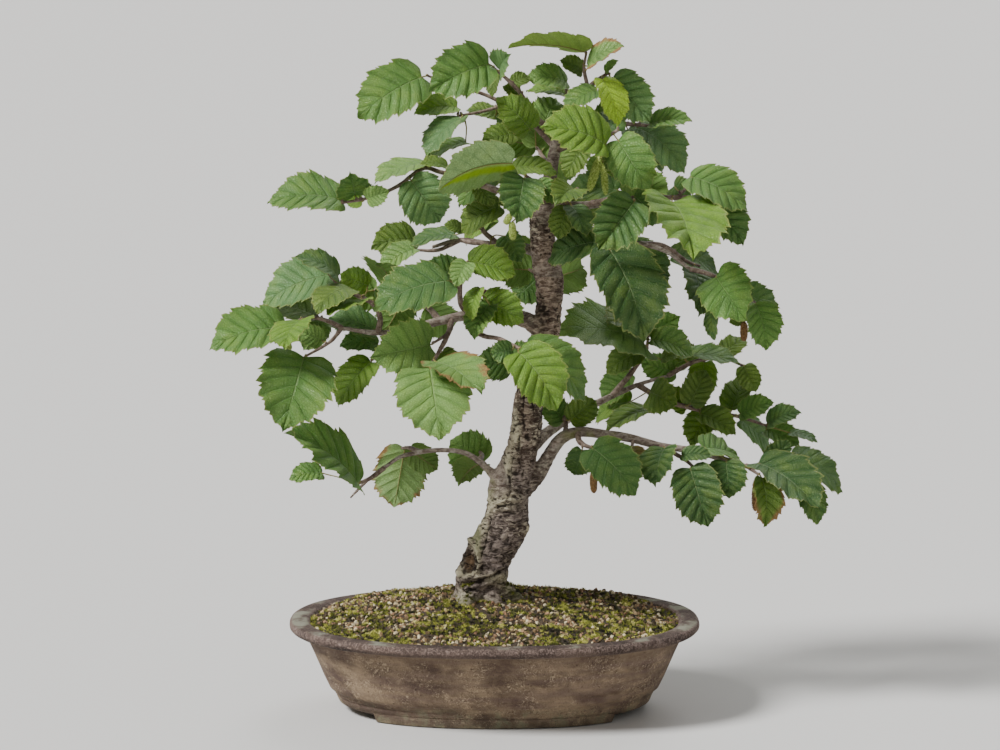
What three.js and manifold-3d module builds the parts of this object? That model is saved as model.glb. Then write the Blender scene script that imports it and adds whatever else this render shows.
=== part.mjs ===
// Hazel bonsai: a small informal-upright hazel in a shallow oval pot of unglazed brown clay.
// Millimetres, +Z up, front view along +Y. The origin is the middle of the bounding box's bottom.
//
// The tree is set out from a front-view drawing. A place on the drawing is given by its column and
// its row on a grid of 0.8 mm steps, with the depth behind the trunk's upright plane in millimetres.

import * as THREE from 'three';
import * as BufferGeometryUtils from 'three/addons/utils/BufferGeometryUtils.js';
import Module from 'manifold-3d';

const wasm = await Module();
wasm.setup();

// Driving dimensions of the pot
const POT_LENGTH = 327;
const POT_DEPTH = 244;
const RIM_TOP = 71.5;
const FOOT_HEIGHT = 5;
const FLOOR_THICKNESS = 8;
const FOOT_LENGTH = 184;
const POT_CENTRE = { x: -4.4, y: -27 };
const OVAL_POWER = 2.25;
const DRAIN_RADIUS = 9;
const DRAIN_SPACING = 116;

// Gaps and blade sizes
const SEAT_GAP = 0.3;
const BLADE_THICKNESS = 0.7;
const PETIOLE_WIDTH = 1.4;
const CLEARANCE = 1.3;

// The front-view drawing: grid step, size, and the eye's place
const GRID = { step: 0.8, column: 500, row: 375 };
const EYE_DISTANCE = 2500;
const EYE_RISE = THREE.MathUtils.degToRad(7.5);
const SIGHT_HEIGHT = 262.6;

const EYE = new THREE.Vector3(
  0,
  -EYE_DISTANCE * Math.cos(EYE_RISE),
  SIGHT_HEIGHT + EYE_DISTANCE * Math.sin(EYE_RISE),
);

/** The point that the drawing shows at a column and a row, at a depth behind the trunk's plane. */
function drawn(column, row, depth) {
  const across = (column - GRID.column) * GRID.step;
  const up = (GRID.row - row) * GRID.step;
  const ray = new THREE.Vector3(
    across,
    EYE_DISTANCE * Math.cos(EYE_RISE) + up * Math.sin(EYE_RISE),
    up * Math.cos(EYE_RISE) - EYE_DISTANCE * Math.sin(EYE_RISE),
  );
  return ray.multiplyScalar((depth - EYE.y) / ray.y).add(EYE);
}

/** A repeatable number from 0 to 1 for a whole-number key. */
function chance(key) {
  let mixed = (key * 2654435761 + 97) % 4294967296;
  mixed = (mixed ^ (mixed >>> 15)) >>> 0;
  mixed = Math.imul(mixed, 2246822519) >>> 0;
  mixed = (mixed ^ (mixed >>> 13)) >>> 0;
  return (mixed % 100000) / 100000;
}

// Closed meshes

/** A closed solid from points and triangles. */
function solid(points, faces) {
  const geometry = new THREE.BufferGeometry();
  const numbers = points.flatMap((point) => [point.x, point.y, point.z]);
  geometry.setAttribute('position', new THREE.Float32BufferAttribute(numbers, 3));
  geometry.setIndex(faces.flat());
  return solidOf(geometry);
}

/** A closed solid from a three.js geometry, with its shared corners merged. */
function solidOf(geometry) {
  geometry.deleteAttribute('normal');
  geometry.deleteAttribute('uv');
  const merged = BufferGeometryUtils.mergeVertices(geometry, 1e-4);
  return new wasm.Manifold(new wasm.Mesh({
    numProp: 3,
    vertProperties: new Float32Array(merged.attributes.position.array),
    triVerts: new Uint32Array(merged.index.array),
  }));
}

/** The largest body of a solid, without the scraps that a cut can leave. */
function mainBody(body) {
  const pieces = body.decompose();
  pieces.sort((a, b) => b.volume() - a.volume());
  return pieces[0];
}

/** Joins the rings of points in a list into a closed skin, with a cap on each end. */
function skin(rings) {
  const points = rings.flat();
  const sides = rings[0].length;
  const faces = [];
  for (let ring = 0; ring + 1 < rings.length; ring += 1) {
    for (let side = 0; side < sides; side += 1) {
      const next = (side + 1) % sides;
      const a = ring * sides + side;
      const b = ring * sides + next;
      faces.push([a, b, b + sides], [a, b + sides, a + sides]);
    }
  }
  const last = (rings.length - 1) * sides;
  for (let side = 1; side + 1 < sides; side += 1) {
    faces.push([0, side + 1, side], [last, last + side, last + side + 1]);
  }
  return solid(points, faces);
}

/** Stations, each a point and a radius, on a smooth line through drawn path points. */
function stations(path, stepsPerSpan) {
  const curve = new THREE.CatmullRomCurve3(path.map((p) => drawn(p[0], p[1], p[2])), false, 'centripetal');
  const spans = path.length - 1;
  const list = [];
  for (let index = 0; index <= spans * stepsPerSpan; index += 1) {
    const place = index / stepsPerSpan;
    const from = Math.min(Math.floor(place), spans - 1);
    const radius = THREE.MathUtils.lerp(path[from][3], path[from + 1][3], place - from);
    list.push({ point: curve.getPoint(place / spans), radius });
  }
  return list;
}

/** A tapering round stem through its stations, with a swelling given by a function of angle and place. */
function stem(list, sides, extra = 0, swelling = () => 1) {
  const rings = [];
  let across = null;
  list.forEach((station, index) => {
    const before = list[Math.max(index - 1, 0)].point;
    const after = list[Math.min(index + 1, list.length - 1)].point;
    const along = after.clone().sub(before).normalize();
    if (across === null) {
      const guide = Math.abs(along.z) < 0.9 ? new THREE.Vector3(0, 0, 1) : new THREE.Vector3(1, 0, 0);
      across = guide.cross(along).normalize();
    }
    across = across.clone().addScaledVector(along, -across.dot(along)).normalize();
    const third = along.clone().cross(across);
    const ring = [];
    for (let side = 0; side < sides; side += 1) {
      const angle = (side / sides) * Math.PI * 2;
      const reach = station.radius * swelling(angle, station.point) + extra;
      ring.push(station.point.clone()
        .addScaledVector(across, Math.cos(angle) * reach)
        .addScaledVector(third, Math.sin(angle) * reach));
    }
    rings.push(ring);
  });
  return skin(rings);
}

// The pot

/** A point of the pot's oval, from its two half-sizes, at an angle and a height. */
function ovalPoint(halfLength, halfDepth, angle, height) {
  const cosine = Math.cos(angle);
  const sine = Math.sin(angle);
  const power = 2 / OVAL_POWER;
  return new THREE.Vector3(
    POT_CENTRE.x + Math.sign(cosine) * halfLength * Math.abs(cosine) ** power,
    POT_CENTRE.y + Math.sign(sine) * halfDepth * Math.abs(sine) ** power,
    height,
  );
}

/** An oval ring of points, given how far it lies inside the rim's outermost line. */
function ovalRing(inset, height, count) {
  const ring = [];
  for (let index = 0; index < count; index += 1) {
    const angle = (index / count) * Math.PI * 2;
    ring.push(ovalPoint(POT_LENGTH / 2 - inset, POT_DEPTH / 2 - inset, angle, height));
  }
  return ring;
}

// The wall's outline as [inset from the rim's outermost line, height], from the underside over the rim
// and down to the inner floor
const POT_OUTLINE = [
  [44, FOOT_HEIGHT],
  [38.6, FOOT_HEIGHT + 1.2],
  [34.2, 16.2],
  [30.8, 19.6],
  [21, 42],
  [12.4, 60.6],
  [4.6, 62.8],
  [0, 66.8],
  [2, 70.9],
  [9, RIM_TOP],
  [16, 70],
  [18.8, 64],
  [27.4, 43],
  [41, FOOT_HEIGHT + FLOOR_THICKNESS + 3],
  [47, FOOT_HEIGHT + FLOOR_THICKNESS],
];
const POT_SIDES = 32;
const INNER_RIM_INSET = 17.5;

/** A wide low foot under one long side of the pot, following the oval, with slanted ends. */
function foot(side) {
  const rings = [];
  const steps = 6;
  for (let index = 0; index <= steps; index += 1) {
    const across = -FOOT_LENGTH / 2 + (index / steps) * FOOT_LENGTH;
    const edge = (inset) => {
      const reach = Math.abs(across) / (POT_LENGTH / 2 - inset);
      return (POT_DEPTH / 2 - inset) * (1 - reach ** OVAL_POWER) ** (1 / OVAL_POWER);
    };
    const lean = index === 0 ? -2.5 : (index === steps ? 2.5 : 0);
    const corner = (inset, height, shift) => new THREE.Vector3(
      POT_CENTRE.x + side * (across + shift),
      POT_CENTRE.y + side * edge(inset),
      height,
    );
    rings.push([
      corner(39.5, 0, 0),
      corner(38, FOOT_HEIGHT + 2, lean),
      corner(56, FOOT_HEIGHT + 2, lean),
      corner(54, 0, 0),
    ]);
  }
  return skin(rings);
}

function drainHole(x) {
  const shaft = new THREE.CylinderGeometry(DRAIN_RADIUS, DRAIN_RADIUS, 40, 14);
  shaft.rotateX(Math.PI / 2);
  shaft.translate(POT_CENTRE.x + x, POT_CENTRE.y, 10);
  return solidOf(shaft);
}

function makePot() {
  const shell = skin(POT_OUTLINE.map(([inset, height]) => ovalRing(inset, height, POT_SIDES)));
  return shell
    .add(foot(-1))
    .add(foot(1))
    .subtract(drainHole(-DRAIN_SPACING / 2))
    .subtract(drainHole(DRAIN_SPACING / 2));
}

/** A square of plastic mesh that lies on the inner floor over a drainage hole. */
function makeDrainMesh(x) {
  const size = 27;
  const thickness = 1.2;
  const cells = 2;
  const bar = 1.8;
  const pitch = (size - bar) / cells;
  const height = FOOT_HEIGHT + FLOOR_THICKNESS + SEAT_GAP + thickness / 2;
  const plate = new THREE.BoxGeometry(size, size, thickness);
  plate.translate(POT_CENTRE.x + x, POT_CENTRE.y, height);
  let grid = solidOf(plate);
  for (let column = 0; column < cells; column += 1) {
    for (let row = 0; row < cells; row += 1) {
      const opening = new THREE.BoxGeometry(pitch - bar, pitch - bar, thickness * 3);
      opening.translate(
        POT_CENTRE.x + x + (column - (cells - 1) / 2) * pitch,
        POT_CENTRE.y + (row - (cells - 1) / 2) * pitch,
        height,
      );
      grid = grid.subtract(solidOf(opening));
    }
  }
  return grid;
}

// The trunk with its roots and its thick limbs: [column, row, depth, radius]

const TRUNK_PATH = [
  [476, 618, 0, 23],
  [477, 606, 0, 21],
  [480, 592, 0, 20],
  [482, 574, -1, 19.6],
  [486, 559, -3, 19],
  [496, 543, -5, 17.8],
  [504, 528, -6, 18],
  [508, 508, -7, 16.8],
  [511, 484, -8, 16.6],
  [517, 466, -8, 14],
  [523, 448, -7, 12.4],
  [527, 418, -4, 12.6],
  [532, 386, 0, 11.3],
  [540, 356, 2, 10.6],
  [546, 330, 3, 10.8],
  [549, 300, 4, 10.4],
  [548, 272, 4, 11.6],
  [543, 243, 3, 10.2],
  [541, 222, 2, 9.4],
  [548, 192, 1, 6.4],
  [552, 165, 0, 5],
  [559, 132, 0, 4.2],
  [572, 108, 1, 3.4],
];

const LIMB_PATHS = {
  lowerLeft: [
    [508, 486, -8, 8], [493, 474, -10, 5.8], [480, 462, -12, 4.3], [465, 453, -15, 3.7],
    [440, 450, -19, 3.4], [415, 453, -24, 3.2], [400, 457, -27, 3], [385, 467, -30, 2.8],
    [370, 478, -33, 2.4], [350, 498, -36, 1.8],
  ],
  lowerRight: [
    [524, 488, -6, 8.5], [538, 474, -6, 6.8], [548, 457, -6, 5.4], [562, 438, -4, 4.8], [580, 432, 0, 4.3],
    [602, 434, 4, 3.9], [630, 438, 6, 3.6], [660, 446, 4, 3.2], [690, 450, 0, 2.9], [720, 458, -4, 2.6],
    [748, 467, -8, 2],
  ],
  lowerBack: [
    [527, 450, 0, 7], [548, 432, 30, 5.4], [580, 412, 62, 4.2], [612, 396, 84, 3.4], [640, 384, 98, 2.6],
    [668, 376, 108, 2],
  ],
  middleLeft: [
    [547, 332, 2, 9], [526, 320, -4, 7.4], [500, 315, -9, 6], [470, 315, -14, 5], [440, 321, -18, 4.2],
    [405, 330, -22, 3.3], [378, 333, -24, 2.6], [342, 328, -26, 2],
  ],
  upperLeft: [
    [544, 208, 0, 5], [522, 197, -6, 3.8], [500, 191, -12, 3.2], [480, 184, -17, 2.8], [455, 175, -21, 2.3],
  ],
  right: [
    [545, 216, 0, 5.6], [562, 207, -6, 4.6], [590, 205, -16, 4], [630, 201, -26, 3.2], [660, 198, -34, 2.5],
  ],
  rightLow: [
    [548, 268, 2, 6], [572, 255, -6, 4], [605, 246, -14, 3.3], [640, 244, -20, 2.8], [665, 251, -24, 2.4],
    [690, 269, -28, 1.9],
  ],
  backHigh: [
    [546, 240, 6, 5.4], [556, 226, 34, 3.8], [572, 214, 66, 2.8], [590, 206, 92, 2],
  ],
  backLeft: [
    [543, 254, 4, 5.6], [520, 247, 26, 3.8], [490, 244, 50, 3], [460, 240, 68, 2.3], [432, 247, 78, 1.8],
  ],
};

// Root spurs round the trunk's foot: heading in degrees from +X, reach, radius at the trunk
const ROOT_SPURS = [
  { heading: 4, reach: 40, radius: 10 },
  { heading: 66, reach: 36, radius: 9.5 },
  { heading: 128, reach: 36, radius: 10 },
  { heading: 184, reach: 31, radius: 10 },
  { heading: 246, reach: 34, radius: 10 },
  { heading: 306, reach: 38, radius: 9.5 },
];
const TRUNK_FOOT = drawn(479, 600, 0);

/** Shallow flutes and knots that run up the old wood. */
function bark(angle, point) {
  const age = THREE.MathUtils.clamp((260 - point.z) / 220, 0, 1);
  const flute = Math.cos(angle * 3 + point.z * 0.028) * 0.05 + Math.cos(angle * 5 - point.z * 0.061) * 0.035;
  const knot = Math.sin(point.z * 0.17 + Math.sin(angle) * 2.1) * 0.03;
  return 1 + flute * age + knot;
}

function rootSpur({ heading, reach, radius }, extra) {
  const turn = THREE.MathUtils.degToRad(heading);
  const along = new THREE.Vector3(Math.cos(turn), Math.sin(turn), 0);
  const place = (share, rise) => TRUNK_FOOT.clone()
    .addScaledVector(along, reach * share)
    .add(new THREE.Vector3(0, 0, rise));
  const list = [
    { point: place(0.1, 14), radius },
    { point: place(0.55, 2), radius: radius * 0.8 },
    { point: place(1, -8), radius: radius * 0.42 },
  ];
  return stem(list, 5, extra);
}

/** The whole woody frame, made larger all over by extra millimetres when a neighbour is cut clear of it. */
function makeWood(extra, sides) {
  let wood = stem(stations(TRUNK_PATH, 1), sides, extra, bark);
  for (const spur of ROOT_SPURS) {
    wood = wood.add(rootSpur(spur, extra));
  }
  for (const path of Object.values(LIMB_PATHS)) {
    wood = wood.add(stem(stations(path, 1), path[0][3] > 7 ? 7 : 5, extra));
  }
  return wood;
}

// The soil: a low mound, a little rough with grit and tufts of moss

const SOIL_RINGS = 5;
const SOIL_SIDES = POT_SIDES;
const SOIL_EDGE = 66;
const SOIL_LEVEL = 66.6;
const MOUND_HEIGHT = 12;

function soilHeight(x, y) {
  const u = (x - POT_CENTRE.x) / (POT_LENGTH / 2);
  const v = (y - POT_CENTRE.y) / (POT_DEPTH / 2);
  const mound = MOUND_HEIGHT * Math.max(0, 1 - (u * u + v * v) / 0.8) ** 1.3;
  const foot = TRUNK_FOOT.clone().sub(new THREE.Vector3(x, y, 0));
  const swell = 3 * Math.exp(-(foot.x * foot.x + foot.y * foot.y) / 3200);
  const rough = Math.sin(x * 0.21 + Math.sin(y * 0.13) * 2) * Math.cos(y * 0.19 - x * 0.05) * 1.1;
  return SOIL_LEVEL + mound + swell + rough;
}

function makeSoil() {
  const rings = [];
  const inner = POT_OUTLINE.slice(11).map(([inset, height]) => [inset + SEAT_GAP * 2, height]);
  const floor = FOOT_HEIGHT + FLOOR_THICKNESS + 1.2 + SEAT_GAP * 2;
  rings.push(ovalRing(inner[3][0] + 4, floor, SOIL_SIDES));
  rings.push(ovalRing(inner[2][0] + 1, floor + 1.5, SOIL_SIDES));
  rings.push(ovalRing(inner[1][0] + 0.4, inner[1][1], SOIL_SIDES));
  rings.push(ovalRing(inner[0][0] + 0.2, inner[0][1] - 1, SOIL_SIDES));
  const brim = INNER_RIM_INSET + 2;
  for (let ring = 0; ring < SOIL_RINGS; ring += 1) {
    const share = 1 - ring / SOIL_RINGS;
    const points = [];
    for (let index = 0; index < SOIL_SIDES; index += 1) {
      const angle = (index / SOIL_SIDES) * Math.PI * 2;
      const point = ovalPoint(
        (POT_LENGTH / 2 - brim) * share,
        (POT_DEPTH / 2 - brim) * share,
        angle,
        0,
      );
      point.z = ring === 0 ? SOIL_EDGE : soilHeight(point.x, point.y);
      points.push(point);
    }
    rings.push(points);
  }
  return skin(rings);
}

// Leaves

// One side of a hazel blade as [share of its length, share of its half-width]: heart-shaped base, coarse
// double teeth and a short tip. A larger blade is drawn with more teeth.
const BLADE_SIDES = {
  large: {
    edge: [[-0.07, 0.42], [0.16, 0.88], [0.46, 1], [0.54, 0.86], [0.8, 0.7]],
    rib: [0.32, 0.68],
  },
  medium: {
    edge: [[-0.05, 0.46], [0.3, 1], [0.5, 0.88], [0.78, 0.72]],
    rib: [0.42],
  },
  small: {
    edge: [[-0.03, 0.5], [0.38, 1], [0.76, 0.7]],
    rib: [0.42],
  },
};
const WIDTH_SHARE = 0.86;

/** What the drawing's row says of a leaf, with the stem place that it grows from. */
function leafPose(row, stemPoints, key) {
  const [baseColumn, baseRow, tipColumn, tipRow, seenWidth, depthStep, finish] = row;
  const root = nearestOnStems(stemPoints, baseColumn, baseRow);
  return { root, baseColumn, baseRow, tipColumn, tipRow, seenWidth, depthStep, finish, key };
}

/** The stem point that the drawing shows nearest to a column and a row. */
function nearestOnStems(stemPoints, column, row) {
  let best = null;
  for (const place of stemPoints) {
    const distance = Math.hypot(place.column - column, place.row - row);
    if (best === null || distance < best.distance) {
      best = { ...place, distance };
    }
  }
  return best;
}

/** The leaf's frame in space for one try of breadth, depth and droop. */
function layLeaf(pose, breadth, shift, droop) {
  const depth = pose.root.depth + pose.depthStep + shift;
  const base = drawn(pose.baseColumn, pose.baseRow, depth);
  const flatTip = drawn(pose.tipColumn, pose.tipRow, depth);
  const seenLength = flatTip.distanceTo(base);
  const width = pose.seenWidth * GRID.step;
  const trueLength = Math.max(seenLength * 1.04, width / WIDTH_SHARE);
  const lean = Math.sqrt(trueLength * trueLength - seenLength * seenLength);
  const tip = drawn(pose.tipColumn, pose.tipRow, depth - lean * 0.9 + droop);
  const along = tip.clone().sub(base);
  const length = along.length();
  along.normalize();
  const sight = EYE.clone().sub(base).normalize();
  const facing = sight.clone().addScaledVector(along, -sight.dot(along)).normalize();
  const side = along.clone().cross(facing);
  const trueWidth = Math.max(width, length * WIDTH_SHARE * breadth * (0.9 + 0.1 * chance(pose.key)));
  const turn = Math.acos(Math.min(1, width / trueWidth));
  const under = pose.finish === 'under';
  const front = under ? -1 : 1;
  const rise = side.z >= 0 ? 1 : -1;
  const normal = facing.clone().multiplyScalar(front * Math.cos(turn))
    .addScaledVector(side, rise * Math.sin(turn))
    .normalize();
  return { base, tip, along, normal, across: along.clone().cross(normal), length, width: trueWidth };
}

/** A point of the blade at shares of its length and of its half-width, on its middle surface. */
function bladePoint(lay, share, half, key) {
  const arch = (0.1 + 0.08 * chance(key + 1)) * lay.length;
  const fold = (0.16 + 0.14 * chance(key + 2)) * lay.width * 0.5;
  const wave = Math.sin(share * 9 + half * 2.4 + key) * 0.02 * lay.width;
  const rise = arch * 4 * share * (1 - share) + fold * Math.abs(half) ** 1.4 + wave * Math.abs(half);
  return lay.base.clone()
    .addScaledVector(lay.along, share * lay.length)
    .addScaledVector(lay.across, half * lay.width * 0.5)
    .addScaledVector(lay.normal, rise - arch * 0.4 * share);
}

/** The coarse triangles that stand for a blade when it is kept clear of its neighbours. */
function coarseBlade(lay, key) {
  const at = (share, half) => bladePoint(lay, share, half, key);
  const rib = [at(0, 0), at(0.45, 0), at(1, 0)];
  const faces = [];
  for (const half of [-1, 1]) {
    const edge = [at(-0.06, 0.4 * half), at(0.2, 0.95 * half), at(0.62, 0.95 * half), at(0.86, 0.5 * half)];
    faces.push([rib[0], edge[0], edge[1]], [rib[0], edge[1], rib[1]], [rib[1], edge[1], edge[2]]);
    faces.push([rib[1], edge[2], edge[3]], [rib[1], edge[3], rib[2]]);
  }
  return faces;
}

/** Whether the line from a to b passes through a triangle. */
function pierces(a, b, [p, q, r]) {
  const u = q.clone().sub(p);
  const v = r.clone().sub(p);
  const line = b.clone().sub(a);
  const h = line.clone().cross(v);
  const flat = u.dot(h);
  if (Math.abs(flat) < 1e-9) {
    return false;
  }
  const s = a.clone().sub(p);
  const first = s.dot(h) / flat;
  const w = s.clone().cross(u);
  const second = line.dot(w) / flat;
  const third = v.dot(w) / flat;
  return first > -0.02 && second > -0.02 && first + second < 1.02 && third >= 0 && third <= 1;
}

/** A rough ball round a set of points, to skip far neighbours early. */
function ballOf(points) {
  const box = new THREE.Box3().setFromPoints(points);
  const middle = box.getCenter(new THREE.Vector3());
  return { middle, radius: middle.distanceTo(box.max) };
}

/** A thing that leaves are kept clear of: flat faces, or round rods, with the room it takes round it. */
function bladeThing(faces, owner) {
  return { faces, rods: [], owner, ball: ballOf(faces.flat()) };
}

function rodThing(rods, owner) {
  const ball = ballOf(rods.flatMap((rod) => [rod.a, rod.b]));
  ball.radius += 20;
  return { faces: [], rods, owner, ball };
}

function faceNormal([p, q, r]) {
  return q.clone().sub(p).cross(r.clone().sub(p)).normalize();
}

/** Whether any edge of one set of faces, moved a little to each side, passes through the other set. */
function facesMeet(movers, others, room) {
  for (const other of others) {
    const normal = faceNormal(other);
    for (const mover of movers) {
      for (let corner = 0; corner < 3; corner += 1) {
        const a = mover[corner];
        const b = mover[(corner + 1) % 3];
        for (const offset of [-room, 0, room]) {
          const push = normal.clone().multiplyScalar(offset);
          if (pierces(a.clone().add(push), b.clone().add(push), other)) {
            return true;
          }
        }
      }
    }
  }
  return false;
}

/** Whether a round rod comes too near a face. */
function rodMeets(rod, face, room) {
  const reach = rod.radius + room;
  const normal = faceNormal(face);
  for (const offset of [-reach, -reach / 2, 0, reach / 2, reach]) {
    const push = normal.clone().multiplyScalar(offset);
    if (pierces(rod.a.clone().add(push), rod.b.clone().add(push), face)) {
      return true;
    }
  }
  for (let corner = 0; corner < 3; corner += 1) {
    if (segmentGap(rod.a, rod.b, face[corner], face[(corner + 1) % 3]) < reach) {
      return true;
    }
  }
  return false;
}

/** The gap between two straight pieces. */
function segmentGap(a, b, c, d) {
  const first = b.clone().sub(a);
  const second = d.clone().sub(c);
  const between = a.clone().sub(c);
  const aa = first.dot(first);
  const ee = second.dot(second);
  const ff = second.dot(between);
  const cc = first.dot(between);
  const bb = first.dot(second);
  const spread = aa * ee - bb * bb;
  let s = spread > 1e-9 ? THREE.MathUtils.clamp((bb * ff - cc * ee) / spread, 0, 1) : 0;
  let t = (bb * s + ff) / ee;
  if (t < 0) {
    t = 0;
    s = THREE.MathUtils.clamp(-cc / aa, 0, 1);
  } else if (t > 1) {
    t = 1;
    s = THREE.MathUtils.clamp((bb - cc) / aa, 0, 1);
  }
  return a.clone().addScaledVector(first, s).distanceTo(c.clone().addScaledVector(second, t));
}

/** Whether two rods come too near each other. */
function rodsMeet(one, other, room) {
  return segmentGap(one.a, one.b, other.a, other.b) < one.radius + other.radius + room;
}

/** Whether a leaf with its stalk touches anything that is already in place. */
function blocked(blade, stalk, ball, things, owner) {
  for (const thing of things) {
    const reach = ball.radius + thing.ball.radius + CLEARANCE;
    if (thing.ball.middle.distanceTo(ball.middle) > reach) {
      continue;
    }
    if (facesMeet(blade, thing.faces, CLEARANCE) || facesMeet(thing.faces, blade, CLEARANCE)) {
      return true;
    }
    for (const rod of thing.rods) {
      if (blade.some((face) => rodMeets(rod, face, CLEARANCE))) {
        return true;
      }
      if (thing.owner !== owner && rodsMeet(rod, stalk, CLEARANCE)) {
        return true;
      }
    }
    if (thing.faces.some((face) => rodMeets(stalk, face, CLEARANCE))) {
      return true;
    }
  }
  return false;
}

const BREADTHS = [1, 0.8, 0.62];
const SHIFTS = [0, -7, 7, -14, 14, -22, 22, -30, 30, -40, 40, -52, 52];
const DROOPS = [0, -10, 10, -20, 20, -32, 32];

/** Every try for a leaf, the one nearest to the drawing first. */
const TRIES = BREADTHS.flatMap((breadth) => SHIFTS.flatMap(
  (shift) => DROOPS.map((droop) => ({ breadth, shift, droop })),
));

/** Lays a leaf, narrowed, moved in depth or drooped by steps until it is clear, or leaves it out. */
function placeLeaf(pose, things, owner) {
  for (const { breadth, shift, droop } of TRIES) {
    const lay = layLeaf(pose, breadth, shift, droop);
    const blade = coarseBlade(lay, pose.key);
    const stalk = { a: pose.root.point, b: lay.base, radius: PETIOLE_WIDTH / 2 };
    const ball = ballOf([...blade.flat(), stalk.a]);
    if (!blocked(blade, stalk, ball, things, owner)) {
      things.push(bladeThing(blade, owner));
      things.push(rodThing([stalk], owner));
      return lay;
    }
  }
  return null;
}

/** The leaf as one closed solid: a three-sided stalk that widens into a thin, arched and folded blade. */
function leafSolid(lay, pose, plain) {
  const { length } = lay;
  const detail = length > 52 ? 'large' : (length > 31 ? 'medium' : 'small');
  const sides = BLADE_SIDES[plain ? 'small' : detail];
  const at = (share, half) => bladePoint(lay, share, half, pose.key);
  const rise = lay.normal.clone().multiplyScalar(BLADE_THICKNESS / 2);
  const flat = [];
  const add = (point) => flat.push(point) - 1;
  const left = sides.edge.map(([share, half]) => add(at(share, -half)));
  const right = sides.edge.map(([share, half]) => add(at(share, half)));
  const rib = sides.rib.map((share) => add(at(share, 0)));
  const tip = add(at(1, 0));
  const stalkSide = lay.across.clone().multiplyScalar(PETIOLE_WIDTH / 2);
  const neckLeft = add(at(0, 0).sub(stalkSide));
  const neckRight = add(at(0, 0).add(stalkSide));
  const top = [[neckLeft, neckRight, rib[0]]];
  const half = (edge, neck, turned) => {
    const spine = [neck, ...rib, tip];
    const rim = [...edge, tip];
    const places = [0, ...sides.rib, 1];
    let ribPlace = 0;
    let rimPlace = 0;
    const put = (a, b, c) => top.push(turned ? [a, c, b] : [a, b, c]);
    while (ribPlace + 1 < spine.length || rimPlace + 1 < rim.length) {
      const spineDone = ribPlace + 1 >= spine.length - 1 && rimPlace + 1 < rim.length;
      const nextRim = rimPlace < edge.length - 1 ? sides.edge[rimPlace + 1][0] : 1;
      const nextSpine = places[ribPlace + 1];
      if (rimPlace + 1 < rim.length && (spineDone || nextRim <= nextSpine + 0.14)) {
        if (rim[rimPlace + 1] !== spine[ribPlace]) {
          put(spine[ribPlace], rim[rimPlace + 1], rim[rimPlace]);
        }
        rimPlace += 1;
      } else {
        if (spine[ribPlace + 1] !== rim[rimPlace]) {
          put(spine[ribPlace], spine[ribPlace + 1], rim[rimPlace]);
        }
        ribPlace += 1;
      }
    }
  };
  half(left, neckLeft, false);
  half(right, neckRight, true);
  const count = flat.length;
  const points = [...flat.map((p) => p.clone().add(rise)), ...flat.map((p) => p.clone().sub(rise))];
  const faces = [];
  for (const [a, b, c] of top) {
    faces.push([a, b, c], [a + count, c + count, b + count]);
  }
  const rimLoop = [neckRight, ...right, tip, ...[...left].reverse(), neckLeft];
  for (let index = 0; index + 1 < rimLoop.length; index += 1) {
    const a = rimLoop[index];
    const b = rimLoop[index + 1];
    faces.push([b, a, a + count], [b, a + count, b + count]);
  }
  const outward = lay.base.clone().sub(pose.root.point);
  const reach = Math.max(outward.length(), 1e-3);
  outward.normalize();
  const bend = new THREE.Quaternion().setFromUnitVectors(lay.along, outward);
  const sideAtRoot = lay.across.clone().applyQuaternion(bend).multiplyScalar(PETIOLE_WIDTH / 2);
  const riseAtRoot = lay.normal.clone().applyQuaternion(bend).multiplyScalar(PETIOLE_WIDTH / 2);
  const root = reach > 0.5 ? pose.root.point : lay.base.clone().addScaledVector(lay.along, -1);
  const start = points.length;
  points.push(
    root.clone().sub(sideAtRoot).add(riseAtRoot),
    root.clone().add(sideAtRoot).add(riseAtRoot),
    root.clone().sub(riseAtRoot),
  );
  const keel = start + 2;
  faces.push([start, start + 1, neckRight], [start, neckRight, neckLeft]);
  faces.push([start + 1, keel, neckRight + count], [start + 1, neckRight + count, neckRight]);
  faces.push([keel, start, neckLeft], [keel, neckLeft, neckLeft + count]);
  faces.push([keel, neckLeft + count, neckRight + count], [start, keel, start + 1]);
  return solid(points, faces);
}

/** A hanging catkin, a slim spindle with blunt ends. */
function catkinSolid([topColumn, topRow, endColumn, endRow, radius], root) {
  const top = drawn(topColumn, topRow, root.depth);
  const end = drawn(endColumn, endRow, root.depth);
  const place = (share) => top.clone().lerp(end, share);
  return stem([
    { point: root.point, radius: 0.8 },
    { point: place(0.02), radius: 0.9 },
    { point: place(0.2), radius },
    { point: place(0.85), radius: radius * 0.85 },
    { point: place(1), radius: radius * 0.3 },
  ], 5);
}

// The sprays. A plain one, at the back, has blades with the fewest teeth. A stem is a list of
// [column, row, depth, radius]. A leaf is [base column, base row, tip column, tip row, seen width,
// depth from its stem, finish]. A catkin is [column, row, end column, end row, radius].

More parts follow.
